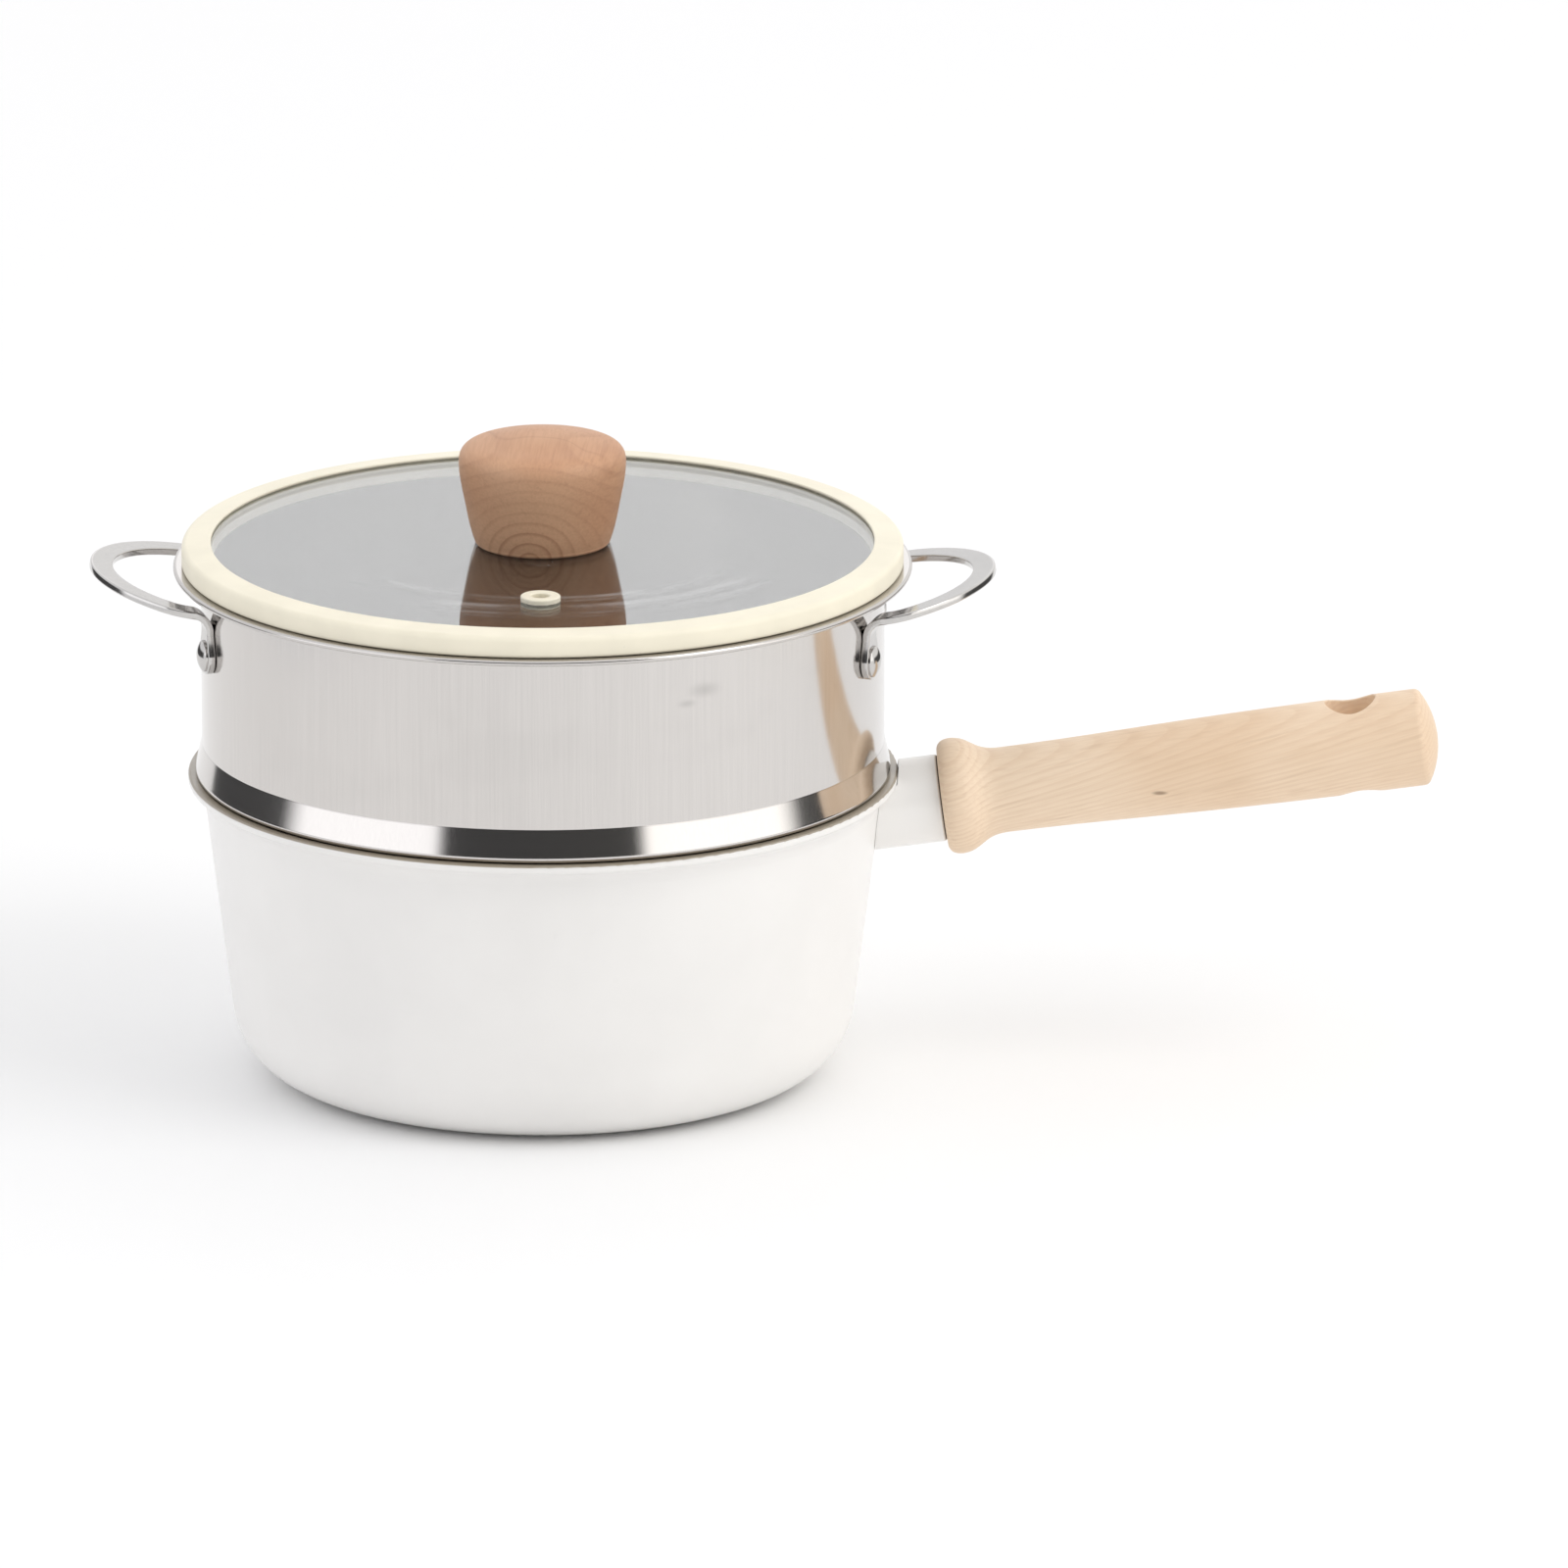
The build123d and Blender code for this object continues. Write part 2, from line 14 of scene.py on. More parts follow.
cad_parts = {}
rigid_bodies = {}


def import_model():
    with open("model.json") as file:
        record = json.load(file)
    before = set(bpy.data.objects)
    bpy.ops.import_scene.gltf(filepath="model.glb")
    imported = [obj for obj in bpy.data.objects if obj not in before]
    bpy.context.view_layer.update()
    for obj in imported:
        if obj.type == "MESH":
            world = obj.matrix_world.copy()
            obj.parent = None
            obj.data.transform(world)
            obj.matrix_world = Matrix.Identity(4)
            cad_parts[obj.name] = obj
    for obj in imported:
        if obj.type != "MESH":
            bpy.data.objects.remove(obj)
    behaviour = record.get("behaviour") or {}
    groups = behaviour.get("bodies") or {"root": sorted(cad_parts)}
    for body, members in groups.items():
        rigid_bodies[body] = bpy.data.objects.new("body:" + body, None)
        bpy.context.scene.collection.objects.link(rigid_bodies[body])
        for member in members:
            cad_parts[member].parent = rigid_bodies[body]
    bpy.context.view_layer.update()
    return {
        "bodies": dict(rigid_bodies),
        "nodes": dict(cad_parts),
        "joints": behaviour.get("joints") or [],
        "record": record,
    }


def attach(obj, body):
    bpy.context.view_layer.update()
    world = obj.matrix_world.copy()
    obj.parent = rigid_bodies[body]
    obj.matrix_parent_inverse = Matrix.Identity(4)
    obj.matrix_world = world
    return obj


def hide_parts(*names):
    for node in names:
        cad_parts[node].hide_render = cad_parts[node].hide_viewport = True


MM = 0.001
LOG = logging.getLogger("double_boiler")

Colour = tuple[float, float, float]
Pair = tuple[float, float]
Shape = tuple[list[Vector], list[list[int]]]

# Sizes of the upper pot that its steel, its loops and its sheet share
WALL_RADIUS = 92.8 * MM
SEAM_HEIGHT = 93.2 * MM
RIM_HEIGHT = 142.3 * MM

BRASS = (0.71, 0.53, 0.26)
SIDEWAYS = Vector((0.0, 1.0, 0.0))
OTHER_SIDE = Matrix.Diagonal((1.0, -1.0, 1.0))


class Body(Enum):
    """The rigid bodies of the frame."""

    PAN = "pan"
    POT = "pot"
    LID = "lid"


def from_screen(red: int, green: int, blue: int) -> Colour:
    """Turn a screen colour into the linear colour that a shader takes.

    Args:
        red: Red from 0 to 255.
        green: Green from 0 to 255.
        blue: Blue from 0 to 255.

    Returns:
        The same colour as linear numbers from 0 to 1.
    """
    def linear(value: int) -> float:
        """Undo the screen's curve for one channel."""
        share = value / 255
        return share / 12.92 if share <= 0.04045 else ((share + 0.055) / 1.055) ** 2.4

    return linear(red), linear(green), linear(blue)


def shaded(colour: Colour, share: float) -> Colour:
    """Return the colour with each channel times a share."""
    return colour[0] * share, colour[1] * share, colour[2] * share


def placed(name: str, data: bpy.types.ID) -> bpy.types.Object:
    """Put a new object with its data into the scene.

    Args:
        name: The object's name.
        data: Its mesh, lamp or camera.

    Returns:
        The object.
    """
    made = bpy.data.objects.new(name, data)
    bpy.context.scene.collection.objects.link(made)
    return made


def operation(name: str, swapped: bool = False) -> Callable[..., "Signal"]:
    """Make a method of a signal that adds one Math node.

    Args:
        name: The node's operation.
        swapped: True puts the signal itself second.

    Returns:
        The method.
    """
    def method(self: "Signal", *others: "Signal | float") -> "Signal":
        """Add the node and return its result."""
        parts = (*others, self) if swapped else (self, *others)
        return self.sheet.math(name, *parts)

    return method


class Signal:
    """A number that varies over a surface. Arithmetic on it adds Math nodes to its sheet."""

    def __init__(self, sheet: "NodeSheet", socket: bpy.types.NodeSocket) -> None:
        """Wrap one output socket of a sheet's node."""
        self.sheet = sheet
        self.socket = socket

    __add__ = __radd__ = operation("ADD")
    __mul__ = __rmul__ = operation("MULTIPLY")
    __sub__ = operation("SUBTRACT")
    __rsub__ = operation("SUBTRACT", swapped=True)
    __truediv__ = operation("DIVIDE")
    __pow__ = operation("POWER")
    fraction = operation("FRACT")
    size = operation("ABSOLUTE")
    above = operation("MAXIMUM")
    below = operation("MINIMUM")


class NodeSheet:
    """The node tree of one material or of the world, with short ways to add to it."""

    def __init__(self, tree: bpy.types.NodeTree) -> None:
        """Take over a tree and empty it."""
        self.tree = tree
        tree.nodes.clear()

    def add(self, kind: str, settings: dict | None = None, values: dict | None = None) -> bpy.types.Node:
        """Add any node.

        Args:
            kind: The node's type name.
            settings: Properties of the node, set before its sockets.
            values: Numbers, colours, signals or sockets by socket name or number.

        Returns:
            The new node.
        """
        node = self.tree.nodes.new(kind)
        for name, value in (settings or {}).items():
            setattr(node, name, value)
        for name, value in (values or {}).items():
            self.feed(node.inputs[name], value)
        return node

    def feed(self, socket: bpy.types.NodeSocket, value: object) -> None:
        """Link or set one input socket.

        Args:
            socket: The input.
            value: A signal, an output socket, a colour or a plain value.
        """
        if isinstance(value, Signal):
            self.tree.links.new(value.socket, socket)
        elif isinstance(value, bpy.types.NodeSocket):
            self.tree.links.new(value, socket)
        elif socket.type == "RGBA" and len(value) == 3:
            socket.default_value = (*value, 1.0)
        else:
            socket.default_value = value

    def math(self, operation: str, *parts: "Signal | float") -> Signal:
        """Add a Math node and return its result."""
        node = self.add("ShaderNodeMath", {"operation": operation}, dict(enumerate(parts)))
        return Signal(self, node.outputs[0])

    def vector(self, operation: str, *parts: object) -> bpy.types.Node:
        """Add a Vector Math node."""
        return self.add("ShaderNodeVectorMath", {"operation": operation}, dict(enumerate(parts)))

    def place(self) -> bpy.types.NodeSocket:
        """Return the object's own coordinates, in metres."""
        return self.add("ShaderNodeTexCoord").outputs["Object"]

    def split(self, vector: bpy.types.NodeSocket) -> tuple[Signal, ...]:
        """Split a vector into its three signals."""
        node = self.add("ShaderNodeSeparateXYZ", values={0: vector})
        return tuple(Signal(self, socket) for socket in node.outputs)

    def vector_of(self, *parts: "Signal | float") -> bpy.types.NodeSocket:
        """Join three signals into a vector."""
        return self.add("ShaderNodeCombineXYZ", values=dict(enumerate(parts))).outputs[0]

    def distance(self, place: bpy.types.NodeSocket, centre: Vector, stretch: Colour) -> Signal:
        """Return how far a place lies from a centre.

        Args:
            place: Coordinates in metres.
            centre: The centre in metres.
            stretch: How much each axis counts.

        Returns:
            The distance.
        """
        offset = self.vector("SUBTRACT", place, tuple(centre)).outputs[0]
        stretched = self.vector("MULTIPLY", offset, stretch).outputs[0]
        return Signal(self, self.vector("LENGTH", stretched).outputs["Value"])

    def noise(self, where: bpy.types.NodeSocket, scale: float, detail: float = 2.0,
              rough: float = 0.5, bend: float = 0.0) -> Signal:
        """Return smooth noise between 0 and 1.

        Args:
            where: Coordinates in metres.
            scale: Waves per metre.
            detail: Finer layers.
            rough: Strength of the finer layers.
            bend: How far the noise is pushed about by itself.

        Returns:
            The noise.
        """
        node = self.add(
            "ShaderNodeTexNoise",
            values={
                "Vector": where, "Scale": scale, "Detail": detail, "Roughness": rough, "Distortion": bend,
            },
        )
        return Signal(self, node.outputs["Fac"])

    def step(self, value: Signal, low: float, high: float, start: float = 0.0, end: float = 1.0) -> Signal:
        """Make a soft step.

        Args:
            value: What the step follows.
            low: The value where it begins.
            high: The value where it ends.
            start: The result at low and below.
            end: The result at high and above.

        Returns:
            The step.
        """
        node = self.add(
            "ShaderNodeMapRange",
            {"interpolation_type": "SMOOTHSTEP"},
            {"Value": value, "From Min": low, "From Max": high, "To Min": start, "To Max": end},
        )
        return Signal(self, node.outputs["Result"])

    def band(self, value: Signal, rise: Pair, fall: Pair) -> Signal:
        """Return 1 between a soft rise and a soft fall, and 0 beyond them."""
        return self.step(value, *rise) * self.step(value, *fall, start=1.0, end=0.0)

    def stain(self, colour: object, stain: object, value: Signal, low: float, high: float,
              strength: float = 1.0) -> bpy.types.NodeSocket:
        """Mix a stain into a colour where a value is high.

        Args:
            colour: The colour without the stain.
            stain: The stain's colour.
            value: What the stain follows.
            low: The value where the stain begins.
            high: The value where it has its full strength.
            strength: Its share there.

        Returns:
            The colour.
        """
        return self.mix(self.step(value, low, high, end=strength), colour, stain)

    def mix(self, share: "Signal | float", first: object, second: object) -> bpy.types.NodeSocket:
        """Mix two colours.

        Args:
            share: 0 for the first colour, 1 for the second.
            first: A colour or a socket.
            second: Another.

        Returns:
            The mixed colour.
        """
        node = self.add("ShaderNodeMix", {"data_type": "RGBA"})
        self.feed(node.inputs["Factor"], share)
        colours = [socket for socket in node.inputs if socket.type == "RGBA"]
        self.feed(colours[0], first)
        self.feed(colours[1], second)
        return next(socket for socket in node.outputs if socket.type == "RGBA")

    def bump(self, height: Signal, distance: float, strength: float = 1.0) -> bpy.types.NodeSocket:
        """Return a normal that follows a height, whose full range stands the given metres high."""
        values = {"Height": height, "Distance": distance, "Strength": strength}
        return self.add("ShaderNodeBump", values=values).outputs["Normal"]


@dataclass(frozen=True)
class Finish:
    """What every finish has: a name and a way to become a material."""

    name: str

    def material(self) -> bpy.types.Material:
        """Build the material.

        Returns:
            The material, with its surface linked.
        """
        material = bpy.data.materials.new(self.name)
        material.use_nodes = True
        sheet = NodeSheet(material.node_tree)
        output = sheet.add("ShaderNodeOutputMaterial")
        sheet.feed(output.inputs["Surface"], self.surface(sheet))
        return material

    def surface(self, sheet: NodeSheet) -> bpy.types.NodeSocket:
        """Build the nodes and return the shader's output."""
        raise NotImplementedError

    @staticmethod
    def shader(sheet: NodeSheet, values: dict) -> bpy.types.NodeSocket:
        """Add the Principled shader and return its output."""
        return sheet.add("ShaderNodeBsdfPrincipled", values=values).outputs["BSDF"]


@dataclass(frozen=True)
class Paper(Finish):
    """Even matt paper."""

    colour: Colour = (0.965, 0.965, 0.965)
    roughness: float = 0.8

    def surface(self, sheet: NodeSheet) -> bpy.types.NodeSocket:
        """Build the paper."""
        return self.shader(sheet, {"Base Color": self.colour, "Roughness": self.roughness})


@dataclass(frozen=True)
class PanCoating(Finish):
    """Off-white coating outside, taupe coating inside and on the edge of the lip.

    The two meet where the sheet's middle would be, so the mask follows the pan's own outline.
    """

    outside: Colour = (0.885, 0.87, 0.848)
    inside: Colour = from_screen(160, 149, 132)
    heel_radius: float = 82.4 * MM
    mouth_radius: float = 93.0 * MM
    height: float = 84.0 * MM
    lip_line: float = 83.65 * MM
    lip_blur: float = 0.12 * MM
    corner_radius: float = 21.0 * MM
    skin: float = 1.0 * MM
    skin_blur: float = 0.1 * MM
    cloud_scale: float = 22.0
    rub_scale: float = 160.0
    peel_scale: float = 420.0
    grain_scale: float = 1400.0
    peel_depth: float = 0.012 * MM
    roughness: float = 0.3
    gloss: float = 0.35
    gloss_roughness: float = 0.12
    lined: bool = True

    def lining(self, sheet: NodeSheet, x: Signal, y: Signal, z: Signal) -> Signal:
        """Find the surface that belongs to the inside or to the lip's edge.

        Args:
            sheet: The sheet to add to.
            x: The place along X.
            y: The place along Y.
            z: The place along Z.

        Returns:
            1 there, and 0 on the outside.
        """
        lean = (self.mouth_radius - self.heel_radius) / self.height
        radius = (x * x + y * y) ** 0.5
        wall_depth = self.heel_radius + lean * z - radius
        foot_height = self.corner_radius
        foot_radius = self.heel_radius + lean * foot_height - self.corner_radius / math.cos(math.atan(lean))
        across = (radius - foot_radius).above(0.0)
        down = (foot_height - z).above(0.0)
        foot_depth = self.corner_radius - (across * across + down * down) ** 0.5
        depth = wall_depth.below(foot_depth)
        hidden = sheet.step(depth, self.skin - self.skin_blur, self.skin + self.skin_blur)
        lip = sheet.step(z, self.lip_line - self.lip_blur, self.lip_line + self.lip_blur)
        return hidden.above(lip)

    def surface(self, sheet: NodeSheet) -> bpy.types.NodeSocket:
        """Build the coating: colour, faint clouding, fine orange peel and a clear gloss.

        Args:
            sheet: The sheet to add to.

        Returns:
            The shader's output.
        """
        place = sheet.place()
        x, y, z = sheet.split(place)
        cloud = sheet.noise(place, self.cloud_scale, detail=3.0, rough=0.55)
        grains = sheet.noise(place, self.grain_scale, rough=0.6)
        rub = sheet.noise(place, self.rub_scale, detail=4.0, rough=0.6)
        white = sheet.stain(self.outside, shaded(self.outside, 0.955), cloud, 0.3, 0.75)
        white = sheet.stain(white, shaded(self.outside, 0.9), rub, 0.66, 0.8, strength=0.35)
        taupe = sheet.stain(self.inside, shaded(self.inside, 0.6), grains, 0.62, 0.78, strength=0.6)
        lining = self.lining(sheet, x, y, z) if self.lined else 0.0
        peel = sheet.noise(place, self.peel_scale) * 0.7 + grains * 0.3
        return self.shader(sheet, {
            "Base Color": sheet.mix(lining, white, taupe),
            "Roughness": self.roughness + rub * 0.14,
            "Coat Weight": self.gloss,
            "Coat Roughness": self.gloss_roughness,
            "Normal": sheet.bump(peel, self.peel_depth, 0.5),
        })


@dataclass(frozen=True)
class PotSteel(Finish):
    """Sheet steel: upright brushing on the outer wall, mirror bright flare, and spun rings inside under
    painted shade that darkens the whole inside.

    A field that names an edge is a pair of lengths beyond the wall's radius, the seam's height or
    the rim's height, between which one zone gives way to the next.
    """

    colour: Colour = (0.645, 0.62, 0.598)
    wall_radius: float = WALL_RADIUS
    seam_height: float = SEAM_HEIGHT
    rim_height: float = RIM_HEIGHT
    wall_edge: Pair = (-0.5 * MM, -0.3 * MM)
    seam_edge: Pair = (-0.4 * MM, 0.2 * MM)
    rim_edge: Pair = (-3.2 * MM, -2.2 * MM)
    flange_edge: Pair = (-0.3 * MM, 1.2 * MM)
    fine_scale: float = 2300.0
    broad_scale: float = 520.0
    spun_scale: float = 1700.0
    cloud_scale: float = 26.0
    relief: float = 0.006 * MM
    dark_patches: tuple[tuple[Vector, float], ...] = ()

    def surface(self, sheet: NodeSheet) -> bpy.types.NodeSocket:
        """Build the steel with its zones by radius and height.

        Args:
            sheet: The sheet to add to.

        Returns:
            The shader's output.
        """
        place = sheet.place()
        x, y, z = sheet.split(place)
        radius = (x * x + y * y) ** 0.5
        fine = sheet.noise(sheet.vector_of(x, y, z * 0.012), self.fine_scale, detail=3.0, rough=0.65)
        broad = sheet.noise(sheet.vector_of(x, y, z * 0.02), self.broad_scale)
        spun = sheet.noise(sheet.vector_of(radius, 0.0, z), self.spun_scale, detail=3.0, rough=0.6)
        cloud = sheet.noise(sheet.vector_of(x, y, z * 1.4), self.cloud_scale, detail=3.0, rough=0.55)

        beyond_wall = radius - self.wall_radius
        outer = sheet.step(beyond_wall, *self.wall_edge)
        above_seam = sheet.step(z - self.seam_height, *self.seam_edge)
        below_rim = sheet.step(z - self.rim_height, *self.rim_edge, start=1.0, end=0.0)
        wall = outer * above_seam * below_rim
        flare = outer * (1 - above_seam)

        lines = fine * 0.82 + broad * 0.18 - 0.5
        brushed = sheet.stain(shaded(self.colour, 0.955), shaded(self.colour, 1.035), lines, -0.22, 0.22)
        brushed = sheet.stain(brushed, shaded(self.colour, 0.72), cloud, 0.5, 0.74, strength=0.12)
        # darker soft patches on the front of the wall, each a centre and a reach
        for centre, reach in self.dark_patches:
            away = sheet.distance(place, centre, (1.0, 1.0, 2.4)) * (0.6 + cloud * 0.9)
            brushed = sheet.mix(sheet.step(away, 0.0, reach, 0.26, 0.0), brushed, shaded(self.colour, 0.35))
        # painted shade: the inside and the floor are the same steel darkened to 0.3 to 0.42 of its colour
        inner = sheet.mix(spun, shaded(self.colour, 0.3), shaded(self.colour, 0.42))
        flange = sheet.mix(spun, shaded(self.colour, 0.84), self.colour)
        bright = sheet.mix(fine, shaded(self.colour, 0.94), shaded(self.colour, 1.04))
        colour = sheet.stain(inner, flange, beyond_wall, *self.flange_edge)
        colour = sheet.mix(wall, colour, brushed)

        rough_wall = 0.11 + (lines + cloud * 0.12) * 0.14
        rough_rest = 0.1 + spun * 0.1
        rough_flare = 0.075 + fine * 0.06
        height = wall * lines + (1 - wall - flare) * (spun - 0.5) + flare * lines * 0.25
        return self.shader(sheet, {
            "Base Color": sheet.mix(flare, colour, bright),
            "Metallic": 1.0,
            "Roughness": rough_rest + wall * (rough_wall - rough_rest) + flare * (rough_flare - rough_rest),
            "Normal": sheet.bump(height, self.relief, 0.35),
        })


@dataclass(frozen=True)
class WorkedMetal(Finish):
    """A plain metal part: fine lines, faint clouding and handling marks."""

    colour: Colour = (0.66, 0.64, 0.62)
    roughness: float = 0.14
    lines_in_rings: bool = False
    line_scale: float = 1600.0
    line_depth: float = 0.004 * MM
    cloud_scale: float = 90.0
    clouding: float = 0.12

    def surface(self, sheet: NodeSheet) -> bpy.types.NodeSocket:
        """Build the metal with its lines.

        Args:
            sheet: The sheet to add to.

        Returns:
            The shader's output.
        """
        place = sheet.place()
        x, y, z = sheet.split(place)
        along = sheet.vector_of((x * x + y * y) ** 0.5, 0.0, z) if self.lines_in_rings else place
        lines = sheet.noise(along, self.line_scale, detail=3.0, rough=0.6)
        cloud = sheet.noise(place, self.cloud_scale, detail=3.0, rough=0.55)
        mark = sheet.step(cloud, 0.45, 0.75, end=self.clouding)
        colour = sheet.mix(lines, shaded(self.colour, 0.9), shaded(self.colour, 1.05))
        return self.shader(sheet, {
            "Base Color": sheet.mix(mark, colour, shaded(self.colour, 0.6)),
            "Metallic": 1.0,
            "Roughness": self.roughness + lines * 0.1 + mark * 0.3,
            "Normal": sheet.bump(lines, self.line_depth, 0.3),
        })


@dataclass(frozen=True)
class SoftRubber(Finish):
    """Moulded silicone or rubber: even colour, faint bloom, a little dust and a very fine grain."""

    colour: Colour = from_screen(246, 239, 218)
    roughness: float = 0.42
    bloom: float = 0.05
    cloud_scale: float = 60.0
    dust_scale: float = 700.0
    grain_scale: float = 2600.0
    grain_depth: float = 0.01 * MM

    def surface(self, sheet: NodeSheet) -> bpy.types.NodeSocket:
        """Build the rubber.

        Args:
            sheet: The sheet to add to.

        Returns:
            The shader's output.
        """
        place = sheet.place()
        grain = sheet.noise(place, self.grain_scale, rough=0.6)
        cloud = sheet.noise(place, self.cloud_scale, detail=3.0, rough=0.55)
        dust = sheet.noise(place, self.dust_scale, detail=1.0)
        colour = sheet.stain(self.colour, shaded(self.colour, 1 - self.bloom), cloud, 0.35, 0.7)
        return self.shader(sheet, {
            "Base Color": sheet.stain(colour, shaded(self.colour, 0.75), dust, 0.74, 0.8, strength=0.25),
            "Roughness": self.roughness + cloud * 0.1,
            "Normal": sheet.bump(grain, self.grain_depth, 0.3),
        })


@dataclass(frozen=True)
class ClearGlass(Finish):
    """Toughened glass hazed by wipe marks, with thin curved bright arcs on its faces that are painted
    reflections.

    A painted reflection arc is its radius from the lid's axis, its half width and its strength.
    """

    tint: Colour = (0.965, 0.975, 0.968)
    film_colour: Colour = (0.9, 0.9, 0.9)
    film_strength: float = 0.018
    film_roughness: float = 0.7
    smear_roughness: float = 0.02
    refraction: float = 1.5
    wipe_scale: float = 70.0
    patch_scale: float = 45.0
    painted_arc_end: Pair = (-40.0 * MM, -25.0 * MM)
    painted_reflection_arcs: tuple[tuple[float, float, float], ...] = (
        (57.0 * MM, 2.2 * MM, 0.2),
        (66.0 * MM, 2.8 * MM, 0.16),
        (73.0 * MM, 1.8 * MM, 0.12),
    )

    def surface(self, sheet: NodeSheet) -> bpy.types.NodeSocket:
        """Build the glass and the white film that dulls it and draws the painted reflection arcs.

        Args:
            sheet: The sheet to add to.

        Returns:
            The shader's output.
        """
        place = sheet.place()
        x, y, z = sheet.split(place)
        radius = (x * x + y * y) ** 0.5
        wipe = sheet.noise(sheet.vector_of(x, y * 0.3, z), self.wipe_scale, detail=3.0, rough=0.6, bend=0.4)
        smear = sheet.step(wipe, 0.52, 0.8)
        # painted reflections: bright white film arcs at set radii, only on the front of the lid and broken
        # into patches
        front = sheet.step(y, *self.painted_arc_end, start=1.0, end=0.0)
        patchy = sheet.step(sheet.noise(place, self.patch_scale), 0.4, 0.6)
        painted_reflection_arcs = 0.0
        for middle, half_width, strength in self.painted_reflection_arcs:
            away = (radius - middle).size()
            painted_reflection_arcs = painted_reflection_arcs + sheet.step(away, 0.0, half_width, start=strength, end=0.0)
        glass = self.shader(sheet, {
            "Base Color": self.tint,
            "Roughness": smear * self.smear_roughness,
            "IOR": self.refraction,
            "Transmission Weight": 1.0,
        })
        film = self.shader(sheet, {"Base Color": self.film_colour, "Roughness": self.film_roughness})
        # the film's share: wipe haze plus the painted reflection arcs
        haze_and_painted_arcs = smear * self.film_strength + painted_reflection_arcs * front * patchy
        return sheet.add("ShaderNodeMixShader", values={0: haze_and_painted_arcs, 1: glass, 2: film}).outputs[0]


